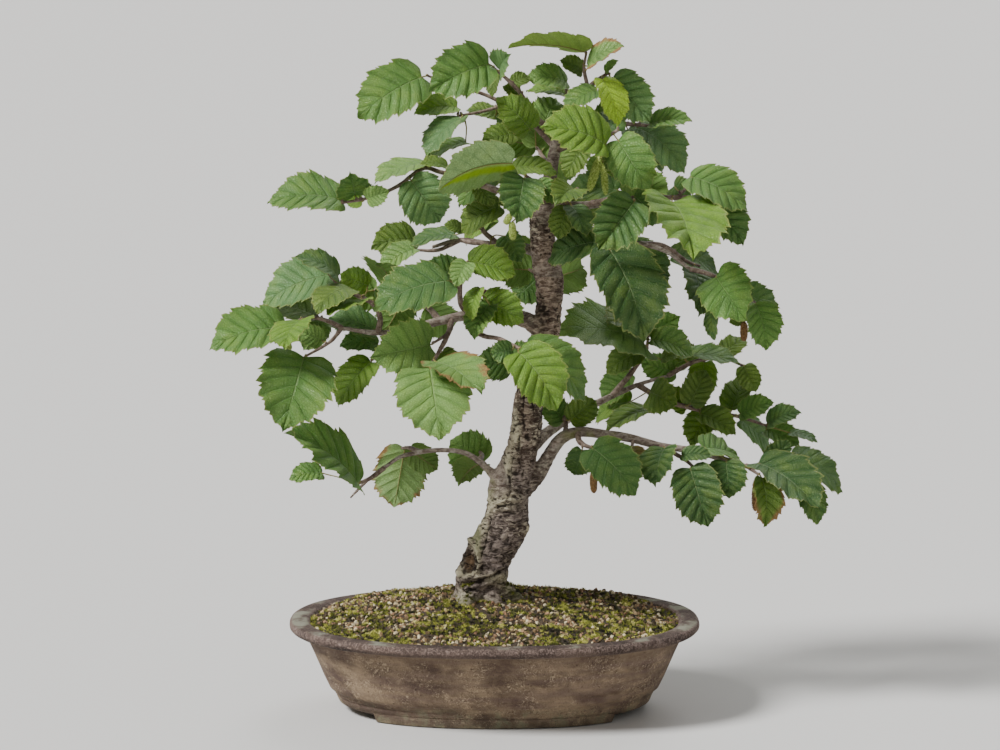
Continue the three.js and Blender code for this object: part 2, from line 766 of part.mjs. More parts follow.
const SPRAYS = [
  {
    name: 'spray_crown_left',
    stems: [
      [[558, 134, 0, 2.6], [532, 114, -7, 2.2], [521, 94, -11, 1.9], [510, 82, -13, 1.6],
        [494, 68, -15, 1.1]],
    ],
    leaves: [
      [489, 64, 429, 90, 52, -4, 'green'], [500, 70, 510, 54, 24, 0, 'green'],
      [497, 74, 492, 97, 14, 5, 'olive'], [519, 96, 503, 86, 14, 10, 'dark'],
      [530, 130, 498, 97, 36, -14, 'bright'], [515, 134, 481, 143, 26, 6, 'olive'],
      [512, 84, 530, 76, 16, 14, 'olive'],
    ],
  },
  {
    name: 'spray_crown_far_left',
    stems: [
      [[555, 148, 0, 2.4], [530, 122, 10, 2], [497, 100, 14, 1.7], [466, 88, 12, 1.4], [428, 76, 4, 1]],
      [[505, 105, 13, 1.4], [480, 112, 8, 1.2], [458, 116, 2, 1]],
    ],
    leaves: [
      [422, 77, 357, 116, 54, -4, 'green'], [457, 107, 414, 113, 22, 6, 'bright'],
      [496, 116, 466, 109, 17, 10, 'olive'], [461, 118, 426, 157, 27, -4, 'blue'],
      [466, 143, 424, 160, 15, 8, 'olive'], [520, 110, 496, 128, 22, 16, 'dark'],
    ],
  },
  {
    name: 'spray_apex',
    stems: [
      [[571, 110, 1, 2.6], [588, 88, -2, 2.1], [602, 77, -5, 1.6], [608, 73, -6, 1.2]],
      [[588, 88, -2, 1.7], [584, 68, -3, 1.4], [586, 54, -3, 1]],
    ],
    leaves: [
      [585, 52, 508, 44, 17, 2, 'under'], [588, 66, 622, 44, 15, -2, 'pale'],
      [602, 79, 618, 127, 32, -14, 'yellow'], [612, 79, 650, 122, 46, 2, 'green'],
      [597, 90, 563, 110, 22, -8, 'bright'], [606, 72, 618, 60, 9, -4, 'bright'],
      [582, 72, 560, 60, 18, 12, 'olive'],
    ],
  },
  {
    name: 'spray_apex_left',
    stems: [[[566, 122, 0, 2.4], [568, 104, 8, 1.9], [567, 90, 12, 1.5], [562, 84, 12, 1.1]]],
    leaves: [
      [567, 82, 526, 77, 25, 0, 'blue'], [565, 94, 526, 90, 15, 8, 'bright'],
      [540, 132, 556, 97, 40, -20, 'blue'],
    ],
  },
  {
    name: 'spray_crown_front',
    stems: [[[556, 150, 0, 3], [580, 142, -20, 2.4], [604, 138, -34, 1.9], [618, 130, -40, 1.3]]],
    leaves: [
      [606, 145, 541, 126, 46, -6, 'bright'], [617, 131, 586, 116, 24, 8, 'dark'],
      [618, 140, 649, 190, 48, -4, 'green'], [607, 148, 612, 178, 20, -8, 'yellow'],
      [584, 148, 566, 178, 26, 0, 'olive'],
    ],
    catkins: [[600, 157, 589, 191, 3.2], [603, 163, 606, 195, 2.4]],
  },
  {
    name: 'spray_crown_right',
    stems: [[[557, 140, 0, 3], [590, 128, 4, 2.4], [620, 124, 6, 2], [652, 126, 4, 1.2]]],
    leaves: [
      [650, 124, 692, 120, 20, 0, 'pale'], [637, 128, 686, 171, 38, -8, 'blue'],
      [628, 130, 664, 172, 30, 14, 'green'], [600, 126, 622, 98, 26, 14, 'dark'],
    ],
  },
  {
    name: 'spray_upper_left',
    stems: [
      [[498, 191, -12, 2.6], [470, 181, -20, 2.2], [440, 172, -24, 1.9], [424, 168, -26, 1.7],
        [398, 186, -30, 1.5],
        [368, 198, -34, 1.3], [342, 203, -36, 1]],
    ],
    leaves: [
      [512, 163, 436, 187, 42, -22, 'under'], [500, 172, 458, 206, 36, 14, 'green'],
      [411, 180, 441, 222, 52, -8, 'blue'], [424, 163, 374, 181, 20, 8, 'green'],
      [447, 167, 420, 163, 12, 6, 'bright'], [355, 195, 350, 172, 38, 6, 'green'],
      [342, 201, 267, 200, 40, -4, 'green'], [367, 199, 389, 190, 22, -8, 'pale'],
      [362, 202, 346, 199, 16, 12, 'bright'], [478, 184, 494, 206, 22, 10, 'olive'],
    ],
  },
  {
    name: 'spray_trunk_front',
    stems: [[[545, 204, -2, 2.4], [538, 186, -24, 2], [526, 176, -34, 1.3]]],
    leaves: [
      [524, 178, 516, 222, 48, -6, 'dark'], [514, 168, 557, 172, 16, 8, 'bright'],
      [536, 184, 560, 204, 24, 10, 'green'], [530, 190, 498, 206, 22, 18, 'olive'],
    ],
    catkins: [[511, 214, 505, 224, 2.4], [512, 222, 513, 240, 2.6]],
  },
  {
    name: 'spray_back_left',
    stems: [
      [[500, 245, 44, 2.4], [482, 228, 44, 1.9], [490, 208, 38, 1.3]],
      [[460, 240, 68, 2], [438, 250, 76, 1.6], [414, 250, 80, 1.1]],
      [[500, 245, 44, 2], [470, 242, 60, 2.2], [460, 240, 68, 2]],
    ],
    leaves: [
      [500, 206, 460, 232, 32, -8, 'olive'], [497, 218, 462, 241, 20, -24, 'bright'],
      [462, 230, 444, 224, 14, 6, 'bright'], [415, 240, 371, 247, 32, 10, 'olive'],
      [415, 249, 380, 271, 24, -6, 'green'], [455, 235, 410, 244, 16, 22, 'olive'],
      [505, 236, 522, 262, 30, 16, 'dark'], [492, 252, 508, 282, 32, -10, 'dark'],
      [484, 222, 470, 200, 26, 22, 'dark'],
    ],
  },
  {
    name: 'spray_back_high',
    plain: true,
    stems: [[[572, 214, 66, 2.4], [588, 206, 92, 2], [606, 190, 104, 1.6], [628, 180, 110, 1.1]]],
    leaves: [
      [628, 180, 668, 196, 42, 4, 'under'], [610, 188, 600, 150, 40, 10, 'under'],
      [592, 204, 560, 226, 40, 8, 'under'], [600, 200, 634, 232, 46, 12, 'under'],
      [618, 184, 650, 158, 36, 16, 'under'],
    ],
  },
  {
    name: 'spray_right_upper',
    stems: [
      [[630, 201, -26, 2.8], [660, 198, -34, 2.2], [690, 198, -36, 1.8], [708, 202, -38, 1.2]],
      [[676, 198, -35, 1.5], [688, 186, -32, 1.2], [692, 177, -30, 1]],
    ],
    leaves: [
      [690, 177, 748, 208, 40, 4, 'green'], [708, 203, 744, 245, 38, 4, 'green'],
      [672, 202, 694, 258, 72, -14, 'bright'], [674, 186, 692, 196, 26, 20, 'green'],
    ],
  },
  {
    name: 'spray_right_front',
    stems: [[[588, 205, -16, 2.6], [606, 200, -34, 2.1], [622, 196, -44, 1.6], [634, 200, -50, 1.1]]],
    leaves: [
      [634, 202, 598, 250, 52, -4, 'dark'], [618, 190, 560, 196, 30, -4, 'green'],
      [634, 196, 664, 222, 36, 14, 'dark'],
    ],
  },
  {
    name: 'spray_right_inner',
    stems: [[[556, 210, -4, 2.6], [568, 200, -16, 2], [578, 188, -24, 1.2]]],
    leaves: [
      [574, 189, 556, 204, 32, 4, 'bright'], [568, 208, 558, 240, 26, -6, 'bright'],
      [572, 206, 586, 236, 28, 6, 'green'],
    ],
  },
  {
    name: 'spray_right_low',
    stems: [[[572, 255, -6, 3], [598, 246, -26, 2.3], [612, 246, -40, 1.4]]],
    leaves: [
      [609, 249, 646, 341, 68, -6, 'dark'], [598, 242, 546, 260, 34, -4, 'dark'],
      [600, 240, 640, 232, 30, 12, 'green'],
    ],
  },
  {
    name: 'spray_right_middle',
    stems: [[[640, 244, -20, 2.6], [664, 246, -8, 2], [688, 262, 0, 1.6], [700, 266, 4, 1]]],
    leaves: [
      [622, 246, 668, 292, 44, 16, 'green'], [692, 270, 700, 314, 40, 0, 'green'],
      [672, 256, 720, 272, 26, 8, 'green'],
    ],
  },
  {
    name: 'spray_right_end',
    stems: [
      [[690, 269, -28, 2.2], [712, 275, -30, 1.7], [738, 290, -32, 1.4], [757, 304, -34, 1]],
    ],
    leaves: [
      [716, 277, 746, 320, 56, -6, 'green'], [755, 303, 767, 350, 36, 0, 'green'],
      [715, 305, 713, 340, 14, 20, 'olive'], [744, 318, 729, 322, 14, 8, 'bright'],
      [742, 292, 780, 318, 30, 10, 'green'],
    ],
    catkins: [[744, 322, 744, 341, 2.6]],
  },
  {
    name: 'spray_middle_front',
    stems: [
      [[484, 315, -12, 3], [474, 328, -34, 2.4], [484, 336, -48, 2], [500, 339, -56, 1.8],
        [514, 346, -62, 1.6],
        [524, 350, -66, 1.1]],
    ],
    leaves: [
      [518, 352, 558, 409, 52, -8, 'bright'], [528, 347, 588, 402, 42, 8, 'green'],
      [512, 350, 490, 354, 24, 2, 'green'],
    ],
  },
  {
    name: 'spray_middle_low',
    stems: [
      [[452, 319, -16, 2.6], [448, 334, -38, 2.2], [440, 350, -50, 1.8], [430, 366, -56, 1.2]],
      [[448, 334, -38, 1.6], [432, 344, -44, 1]],
    ],
    leaves: [
      [430, 345, 371, 357, 60, 0, 'pale'], [430, 368, 440, 437, 78, -10, 'pale'],
      [442, 352, 461, 373, 24, 14, 'olive'], [436, 362, 482, 392, 40, 6, 'pale'],
    ],
  },
  {
    name: 'spray_middle_high',
    stems: [
      [[474, 315, -14, 3], [462, 306, -26, 2.4], [460, 286, -34, 2], [467, 264, -38, 1.2]],
      [[462, 306, -26, 1.8], [478, 298, -34, 1.4], [486, 290, -38, 1]],
    ],
    leaves: [
      [449, 281, 372, 306, 50, -14, 'dark'], [467, 262, 455, 286, 24, 4, 'yellow'],
      [468, 262, 516, 276, 34, -6, 'bright'], [480, 288, 471, 321, 18, -12, 'bright'],
      [482, 300, 524, 322, 38, -2, 'olive'], [490, 305, 473, 338, 26, 10, 'olive'],
      [462, 278, 424, 264, 34, 14, 'green'],
    ],
  },
  {
    name: 'spray_left_high',
    stems: [
      [[378, 333, -24, 2.6], [380, 318, -26, 2.2], [373, 304, -28, 1.9], [354, 294, -32, 1.6],
        [340, 286, -34, 1.3],
        [330, 276, -36, 1]],
    ],
    leaves: [
      [338, 276, 296, 255, 22, 6, 'bright'], [330, 275, 262, 302, 42, -2, 'blue'],
      [350, 288, 315, 309, 24, -8, 'bright'], [360, 300, 330, 313, 22, -2, 'bright'],
      [368, 286, 340, 274, 30, 10, 'bright'], [378, 300, 404, 286, 26, 14, 'green'],
    ],
  },
  {
    name: 'spray_left_end',
    stems: [
      [[342, 328, -26, 2.2], [325, 320, -30, 1.7], [306, 318, -34, 1.4], [286, 328, -38, 1]],
      [[342, 328, -26, 1.8], [330, 342, -34, 1.4], [306, 356, -42, 1]],
    ],
    leaves: [
      [316, 316, 262, 303, 30, 2, 'olive'], [284, 329, 209, 347, 48, -4, 'green'],
      [301, 320, 283, 347, 26, -10, 'yellow'], [321, 320, 304, 350, 32, -2, 'green'],
      [304, 357, 283, 430, 78, -8, 'dark'], [322, 340, 298, 330, 24, 14, 'green'],
    ],
    catkins: [[291, 345, 280, 358, 2.4]],
  },
  {
    name: 'spray_left_low',
    stems: [[[404, 330, -22, 2.4], [390, 346, -14, 2], [372, 360, -8, 1.2]]],
    leaves: [
      [371, 362, 337, 406, 38, 0, 'olive'], [378, 345, 340, 344, 20, 10, 'green'],
      [375, 330, 325, 320, 30, 24, 'blue'], [394, 344, 418, 372, 30, 16, 'dark'],
    ],
  },
  {
    name: 'spray_left_back',
    plain: true,
    stems: [[[440, 321, -18, 2.8], [426, 306, 16, 2.3], [404, 296, 44, 1.8], [376, 290, 66, 1.1]]],
    leaves: [
      [376, 290, 336, 296, 44, 4, 'under'], [392, 292, 376, 262, 40, 10, 'under'],
      [404, 300, 384, 334, 42, 8, 'under'], [420, 304, 446, 276, 40, 10, 'under'],
      [426, 308, 452, 330, 38, 14, 'under'],
    ],
  },
  {
    name: 'spray_low_left_end',
    stems: [[[384, 468, -30, 2.2], [371, 478, -36, 1.8], [356, 484, -42, 1.2]]],
    leaves: [
      [358, 484, 288, 430, 42, -4, 'dark'], [322, 473, 289, 478, 20, 6, 'green'],
    ],
  },
  {
    name: 'spray_low_left_middle',
    stems: [[[420, 452, -23, 2.2], [410, 448, -8, 1.7], [402, 448, 4, 1.1]]],
    leaves: [
      [405, 448, 394, 508, 56, 6, 'under'], [410, 450, 438, 470, 30, 12, 'under'],
    ],
  },
  {
    name: 'spray_low_left_inner',
    stems: [[[478, 461, -12, 2.6], [482, 456, 12, 2.1], [480, 452, 34, 1.3]]],
    leaves: [
      [484, 462, 450, 440, 50, 6, 'dark'], [480, 464, 458, 484, 28, 2, 'under'],
    ],
  },
  {
    name: 'spray_low_right_front',
    stems: [
      [[578, 432, 0, 2.8], [580, 442, -18, 2.2], [590, 447, -26, 1.6], [600, 446, -28, 1]],
    ],
    leaves: [
      [582, 450, 574, 476, 28, 4, 'green'], [592, 448, 637, 494, 50, -6, 'blue'],
    ],
    catkins: [[593, 472, 594, 493, 2.6]],
  },
  {
    name: 'spray_low_right_inner',
    stems: [[[564, 437, -4, 2.4], [566, 424, 12, 1.8], [564, 416, 18, 1.1]]],
    leaves: [
      [563, 422, 545, 394, 30, 2, 'dark'], [570, 420, 596, 400, 32, 10, 'olive'],
    ],
  },
  {
    name: 'spray_low_right_middle',
    stems: [
      [[660, 446, 4, 2.4], [672, 452, -14, 1.9], [688, 462, -22, 1.5], [696, 470, -26, 1]],
      [[634, 439, 6, 1.8], [632, 446, -4, 1.2]],
    ],
    leaves: [
      [665, 448, 655, 486, 36, 6, 'green'], [690, 468, 708, 527, 52, -6, 'blue'],
      [682, 456, 712, 456, 18, -4, 'bright'], [632, 448, 646, 471, 18, 0, 'brown'],
    ],
  },
  {
    name: 'spray_low_right_end',
    stems: [
      [[746, 466, -8, 2.2], [762, 468, -14, 1.7], [780, 464, -18, 1.4], [796, 458, -20, 1]],
      [[746, 466, -8, 1.7], [758, 474, -20, 1.1]],
    ],
    leaves: [
      [758, 463, 820, 507, 40, -10, 'green'], [762, 478, 765, 527, 30, -2, 'green'],
      [794, 457, 845, 490, 28, 4, 'green'], [800, 476, 819, 524, 30, 0, 'green'],
      [726, 461, 729, 498, 42, 2, 'green'], [703, 448, 738, 455, 20, -30, 'pale'],
      [770, 462, 790, 440, 26, 14, 'olive'],
    ],
    catkins: [[757, 478, 755, 511, 3]],
  },
  {
    name: 'spray_back_right_high',
    stems: [
      [[612, 396, 84, 2.8], [632, 372, 92, 2.2], [646, 350, 94, 1.7], [648, 338, 92, 1.1]],
    ],
    leaves: [
      [645, 345, 562, 326, 44, -8, 'blue'], [642, 326, 610, 322, 18, 4, 'olive'],
      [651, 340, 694, 356, 28, -6, 'olive'], [640, 352, 606, 372, 26, 0, 'green'],
      [662, 360, 682, 354, 14, 8, 'bright'], [632, 374, 600, 402, 34, 4, 'green'],
      [650, 336, 680, 316, 32, 10, 'green'],
    ],
  },
  {
    name: 'spray_back_right_low',
    stems: [
      [[638, 385, 96, 2.8], [664, 400, 104, 2.2], [700, 410, 108, 1.8], [736, 416, 108, 1.5],
        [768, 426, 104, 1.1]],
    ],
    leaves: [
      [650, 392, 676, 404, 40, -14, 'green'], [690, 404, 706, 370, 34, -4, 'olive'],
      [732, 410, 750, 376, 30, 4, 'olive'], [740, 414, 774, 402, 26, -6, 'green'],
      [768, 424, 801, 412, 22, -6, 'blue'], [766, 430, 800, 446, 26, 0, 'green'],
      [790, 433, 818, 441, 10, 4, 'olive'], [630, 402, 594, 418, 26, 6, 'green'],
      [652, 410, 606, 430, 24, -4, 'olive'], [700, 414, 736, 434, 26, -8, 'olive'],
      [740, 420, 772, 452, 24, 2, 'green'], [686, 410, 664, 388, 26, 6, 'olive'],
      [712, 412, 690, 446, 34, 10, 'green'],
    ],
  },
  {
    name: 'spray_back_right_far',
    stems: [
      [[668, 376, 108, 2.2], [694, 362, 112, 1.8], [722, 358, 112, 1.5], [744, 366, 110, 1.1]],
    ],
    leaves: [
      [684, 356, 740, 362, 20, -4, 'bright'], [744, 366, 756, 392, 26, 0, 'green'],
      [722, 358, 746, 338, 24, 8, 'olive'], [676, 372, 640, 362, 32, 4, 'dark'],
      [704, 362, 700, 398, 34, 6, 'green'], [690, 364, 672, 338, 32, 12, 'olive'],
    ],
  },
  {
    name: 'spray_rear_high',
    plain: true,
    stems: [[[551, 176, 0, 2.8], [547, 164, 34, 2.1], [541, 154, 60, 1.6], [536, 146, 82, 1.1]]],
    leaves: [
      [536, 146, 506, 140, 36, 2, 'under'], [541, 152, 562, 126, 38, 6, 'under'],
      [546, 160, 580, 166, 38, 0, 'under'], [536, 146, 534, 112, 38, 8, 'under'],
    ],
  },
  {
    name: 'spray_rear_middle',
    plain: true,
    stems: [[[549, 300, 4, 4], [556, 290, 40, 3], [548, 280, 74, 2.2], [530, 270, 104, 1.3]]],
    leaves: [
      [530, 270, 500, 268, 42, 4, 'under'], [534, 268, 540, 236, 44, 10, 'under'],
      [548, 280, 584, 268, 46, -6, 'under'], [540, 276, 514, 300, 40, 14, 'dark'],
    ],
  },
  {
    name: 'spray_rear_low',
    plain: true,
    stems: [[[530, 396, 0, 4], [532, 384, 40, 3], [520, 372, 76, 2.2], [510, 366, 100, 1.3]]],
    leaves: [
      [510, 366, 476, 360, 38, 4, 'dark'], [520, 370, 546, 346, 42, 8, 'green'],
    ],
  },
];

/** Whether a point stands outside the trunk and the limbs. */
function outsideWood(point) {
  return WOOD_RODS.every((rod) => segmentGap(rod.a, rod.b, point, point.clone().setZ(point.z + 0.01))
    > rod.radius + PETIOLE_WIDTH);
}

/** Every point of a spray's stems with its place on the drawing, in fine steps. */
function stemPlaces(stems) {
  const places = [];
  const steps = 5;
  for (const path of stems) {
    const list = stations(path, steps);
    list.forEach((station, index) => {
      const from = Math.min(Math.floor(index / steps), path.length - 2);
      const share = index / steps - from;
      if (outsideWood(station.point)) {
        places.push({
          point: station.point,
          column: THREE.MathUtils.lerp(path[from][0], path[from + 1][0], share),
          row: THREE.MathUtils.lerp(path[from][1], path[from + 1][1], share),
          depth: THREE.MathUtils.lerp(path[from][2], path[from + 1][2], share),
        });
      }
    });
  }
  return places;
}

/** The round rods that stand for a path when leaves are kept clear of it. */
function rodsOf(path) {
  const list = stations(path, 1);
  return list.slice(1).map((station, index) => ({
    a: list[index].point,
    b: station.point,
    radius: Math.max(list[index].radius, station.radius),
  }));
}

const WOOD_RODS = [TRUNK_PATH, ...Object.values(LIMB_PATHS)].flatMap(rodsOf);

/** All the sprays' leaves, laid in turn so that none passes through wood or another leaf. */
function layCrown() {
  const things = [rodThing(rodsOf(TRUNK_PATH), 'trunk')];
  for (const path of Object.values(LIMB_PATHS)) {
    things.push(rodThing(rodsOf(path), 'trunk'));
  }
  for (const spray of SPRAYS) {
    for (const path of spray.stems) {
      things.push(rodThing(rodsOf(path), spray.name));
    }
    const places = stemPlaces(spray.stems);
    for (const catkin of spray.catkins ?? []) {
      const root = nearestOnStems(places, catkin[0], catkin[1]);
      const end = drawn(catkin[2], catkin[3], root.depth);
      things.push(rodThing([{ a: root.point, b: end, radius: catkin[4] }], spray.name));
    }
  }
  let key = 0;
  return SPRAYS.map((spray) => {
    const places = stemPlaces(spray.stems);
    const leaves = [];
    for (const row of spray.leaves) {
      key += 10;
      const pose = leafPose(row, places, key);
      const lay = placeLeaf(pose, things, spray.name);
      if (lay !== null) {
        leaves.push({ pose, lay });
      }
    }
    return { spray, places, leaves };
  });
}

function makeSpray({ spray, places, leaves }, woodRoom) {
  let body = null;
  const join = (piece) => {
    body = body === null ? piece : body.add(piece);
  };
  for (const path of spray.stems) {
    join(stem(stations(path, 1), path[0][3] > 2.3 ? 5 : 4));
  }
  for (const { pose, lay } of leaves) {
    join(leafSolid(lay, pose, spray.plain));
  }
  for (const catkin of spray.catkins ?? []) {
    join(catkinSolid(catkin, nearestOnStems(places, catkin[0], catkin[1])));
  }
  return mainBody(body.subtract(woodRoom));
}

// Materials and the finished assembly

function matt(color, roughness) {
  return new THREE.MeshStandardMaterial({ color, roughness, metalness: 0 });
}

const materials = {
  pot: matt(0x7d6c5e, 0.78),
  soil: matt(0x8a7a55, 0.95),
  bark: matt(0x6f6154, 0.85),
  mesh: matt(0x23241f, 0.6),
  leaves: matt(0x3f6b2e, 0.6),
};

const group = new THREE.Group();

function addPart(name, body, material) {
  const mesh = body.getMesh();
  const geometry = new THREE.BufferGeometry();
  geometry.setAttribute('position', new THREE.BufferAttribute(new Float32Array(mesh.vertProperties), 3));
  geometry.setIndex(new THREE.BufferAttribute(new Uint32Array(mesh.triVerts), 1));
  geometry.computeVertexNormals();
  const part = new THREE.Mesh(geometry, material);
  part.name = name;
  group.add(part);
}

const wood = makeWood(0, 11);
const woodRoom = makeWood(SEAT_GAP, 11);

addPart('pot', makePot(), materials.pot);
addPart('drain_mesh_left', makeDrainMesh(-DRAIN_SPACING / 2), materials.mesh);
addPart('drain_mesh_right', makeDrainMesh(DRAIN_SPACING / 2), materials.mesh);
addPart('soil', makeSoil().subtract(woodRoom), materials.soil);
addPart('trunk', wood, materials.bark);
for (const laid of layCrown()) {
  addPart(laid.spray.name, makeSpray(laid, woodRoom), materials.leaves);
}

// The origin moves to the middle of the bounding box's bottom.
const bounds = new THREE.Box3().setFromObject(group);
const middle = bounds.getCenter(new THREE.Vector3());
group.position.set(-middle.x, -middle.y, -bounds.min.z);

export default group;
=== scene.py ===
# %% [markdown]
# # Hazel bonsai
# The object is a small hazel tree that grows in a shallow oval pot of unglazed clay. The frame that is
# loaded first holds every piece at its real size and place. This script gives the pieces their looks:
# finer meshes of the same form stand for the plain solids, and every surface gets its own finish.

# %% Load the frame
import math
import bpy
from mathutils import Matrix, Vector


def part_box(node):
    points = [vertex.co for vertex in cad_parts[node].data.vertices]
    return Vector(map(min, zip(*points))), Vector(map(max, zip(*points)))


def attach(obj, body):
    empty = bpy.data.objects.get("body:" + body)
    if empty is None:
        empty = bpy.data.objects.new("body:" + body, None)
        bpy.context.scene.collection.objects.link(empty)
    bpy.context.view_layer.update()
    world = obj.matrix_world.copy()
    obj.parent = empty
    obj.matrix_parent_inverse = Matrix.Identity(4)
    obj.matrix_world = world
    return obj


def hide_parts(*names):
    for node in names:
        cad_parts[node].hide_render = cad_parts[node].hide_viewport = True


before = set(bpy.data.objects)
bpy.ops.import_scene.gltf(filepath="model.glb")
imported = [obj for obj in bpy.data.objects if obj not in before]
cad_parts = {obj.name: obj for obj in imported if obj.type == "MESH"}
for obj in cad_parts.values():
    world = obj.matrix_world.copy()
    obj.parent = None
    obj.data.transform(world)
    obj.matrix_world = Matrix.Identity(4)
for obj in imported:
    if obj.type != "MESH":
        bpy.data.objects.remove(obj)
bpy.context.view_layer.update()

from types import SimpleNamespace

import bmesh
import bpy
import numpy as np
from mathutils import Matrix, Vector, kdtree, noise

MM = 0.001
print("frame nodes:", len(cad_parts))

# %% [markdown]
# ## Camera and drawing
# The tree was set out from a front view, on a grid of 0.8 mm steps with a depth behind the trunk. The
# camera stands where that view was seen from, 2.5 m away and a little above, so a place on the grid and
# a place in the picture are the same thing. It comes first, because the twigs, the leaves and the scars
# in the bark are all placed through it.

# %% The drawing's eye
GRID_STEP = 0.8 * MM
MIDDLE_COLUMN = 500
MIDDLE_ROW = 375
EYE_DISTANCE = 2500 * MM
EYE_RISE = math.radians(7.5)
SIGHT_HEIGHT = 262.6 * MM
POT_CENTRE_DRAWN = Vector((-4.4, -27, 0)) * MM
SENSOR_WIDTH = 36
FARTHEST_SEEN = 500

pot_low, pot_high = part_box("pot")
POT_CENTRE = (pot_low + pot_high) / 2
POT_CENTRE.z = 0
SHIFT = POT_CENTRE - POT_CENTRE_DRAWN
EYE = SHIFT + Vector((
    0,
    -EYE_DISTANCE * math.cos(EYE_RISE),
    SIGHT_HEIGHT + EYE_DISTANCE * math.sin(EYE_RISE),
))
SIGHT = Vector((0, math.cos(EYE_RISE), -math.sin(EYE_RISE)))
UP = Vector((0, math.sin(EYE_RISE), math.cos(EYE_RISE)))
EYE_DEPTH = -EYE_DISTANCE * math.cos(EYE_RISE)


def drawn(column, row, depth):
    """The point that the drawing shows at a column and a row, at a depth in mm behind the trunk."""
    across = (column - MIDDLE_COLUMN) * GRID_STEP
    up = (MIDDLE_ROW - row) * GRID_STEP
    ray = Vector((across, 0, 0)) + UP * up + SIGHT * EYE_DISTANCE
    return EYE + ray * ((depth * MM - EYE_DEPTH) / ray.y)


def seen(points):
    """The columns and rows on the drawing of an array of points."""
    away = points - np.array(EYE)
    scale = EYE_DISTANCE / (away @ np.array(SIGHT)) / GRID_STEP
    return MIDDLE_COLUMN + away[:, 0] * scale, MIDDLE_ROW - away @ np.array(UP) * scale


print("the eye stands at", [round(value, 3) for value in EYE], "m")


# %% The camera
def linked(name, data):
    """An object with its data, linked to the scene."""
    made = bpy.data.objects.new(name, data)
    bpy.context.scene.collection.objects.link(made)
    return made


camera_data = bpy.data.cameras.new("camera")
camera_data.sensor_width = SENSOR_WIDTH
camera_data.lens = SENSOR_WIDTH * EYE_DISTANCE / (2 * MIDDLE_COLUMN * GRID_STEP)
camera_data.clip_end = FARTHEST_SEEN
camera = linked("camera", camera_data)
camera.location = EYE
camera.rotation_euler = (math.radians(90) - EYE_RISE, 0, 0)
bpy.context.scene.camera = camera
print("lens:", round(camera_data.lens, 1), "mm")

# %% [markdown]
# ## Writing node trees
# Materials and Geometry Nodes are both trees of nodes. One small class wraps a socket, so that sums are
# written as in Python and each operator adds its Math node. Its node method adds any other node: the
# settings are set first, because they decide which sockets the node has. A finish is a recipe, a function
# that lays coats of colour over each other and gives the inputs of the surface's shader.


# %% A socket that Python's operators work on
class Wire:
    """A node's output socket in a tree."""

    def __init__(self, tree, socket=None):
        self.tree = tree
        self.socket = socket

    def node(self, kind, inputs=None, output=0, stops=None, **settings):
        """Adds a node, fills its sockets with values or links, and gives one of its outputs."""
        made = self.tree.nodes.new(kind)
        for name, value in settings.items():
            setattr(made, name, value)
        if stops:
            ramp = made.color_ramp.elements
            while len(ramp) < len(stops):
                ramp.new(1)
            for element, (place, colour) in zip(ramp, stops):
                element.position = place
                element.color = colour
        for name, value in (inputs or {}).items():
            socket = pick(made.inputs, name)
            if isinstance(value, Wire):
                self.tree.links.new(value.socket, socket)
            else:
                socket.default_value = value
        return Wire(self.tree, pick(made.outputs, output))

    def other(self, name):
        """Another output of the same node."""
        return Wire(self.tree, pick(self.socket.node.outputs, name))

    def maths(self, operation, *values):
        """A Math node on values or wires."""
        return self.node("ShaderNodeMath", dict(enumerate(values)), operation=operation)

    def __add__(self, other):
        return self.maths("ADD", self, other)

    def __radd__(self, other):
        return self.maths("ADD", other, self)

    def __sub__(self, other):
        return self.maths("SUBTRACT", self, other)

    def __rsub__(self, other):
        return self.maths("SUBTRACT", other, self)

    def __mul__(self, other):
        return self.maths("MULTIPLY", self, other)

    def __rmul__(self, other):
        return self.maths("MULTIPLY", other, self)

    def __truediv__(self, other):
        return self.maths("DIVIDE", self, other)

    def step(self, start, end):
        """0 before start and 1 after end, with a soft change between them."""
        return self.node(
            "ShaderNodeMapRange",
            {"Value": self, "From Min": start, "From Max": end},
            interpolation_type="SMOOTHSTEP",
        )

    def noise(self, place, scale, detail=3.0, roughness=0.55, distortion=0.0, output="Fac"):
        return self.node("ShaderNodeTexNoise", {
            "Vector": place, "Scale": scale, "Detail": detail, "Roughness": roughness,
            "Distortion": distortion,
        }, output)

    def cells(self, place, scale, feature="F1"):
        return self.node(
            "ShaderNodeTexVoronoi", {"Vector": place, "Scale": scale}, "Distance", feature=feature
        )

    def mix(self, factor, first, second):
        """A colour mixed from two by a factor, each a wire or three numbers that a screen shows."""
        first, second = [
            colour if isinstance(colour, Wire) else srgb(*colour) for colour in (first, second)
        ]
        return self.node(
            "ShaderNodeMix", {"Factor": factor, "A": first, "B": second}, "Result", data_type="RGBA"
        )

    def painted(self, colour, *coats):
        """A colour under coats, each a factor and a colour."""
        for factor, coat in coats:
            colour = self.mix(factor, colour, coat)
        return colour

    def ramp(self, *stops):
        """The colour that this number picks from stops, each a place and a colour."""
        stops = [(place, srgb(*colour)) for place, colour in stops]
        return self.node("ShaderNodeValToRGB", {"Fac": self}, "Color", stops=stops)

    def bump(self, strength, depth):
        """A surface direction that makes this pattern look raised, with a depth in mm."""
        return self.node(
            "ShaderNodeBump", {"Strength": strength, "Distance": depth * MM, "Height": self}
        )

    def here(self):
        """The place on the object."""
        return self.node("ShaderNodeTexCoord", output="Object")

    def kept(self, *names):
        """The numbers that the mesh keeps under these names."""
        return [self.node("ShaderNodeAttribute", output="Fac", attribute_name=name) for name in names]

    def vectors(self, operation, first, second, output="Vector"):
        """A Vector Math node on two places or directions."""
        return self.node("ShaderNodeVectorMath", {0: first, 1: second}, output, operation=operation)

    def stretched(self, place, sizes):
        """A place with its pattern stretched along the axes."""
        return self.vectors("MULTIPLY", place, sizes)


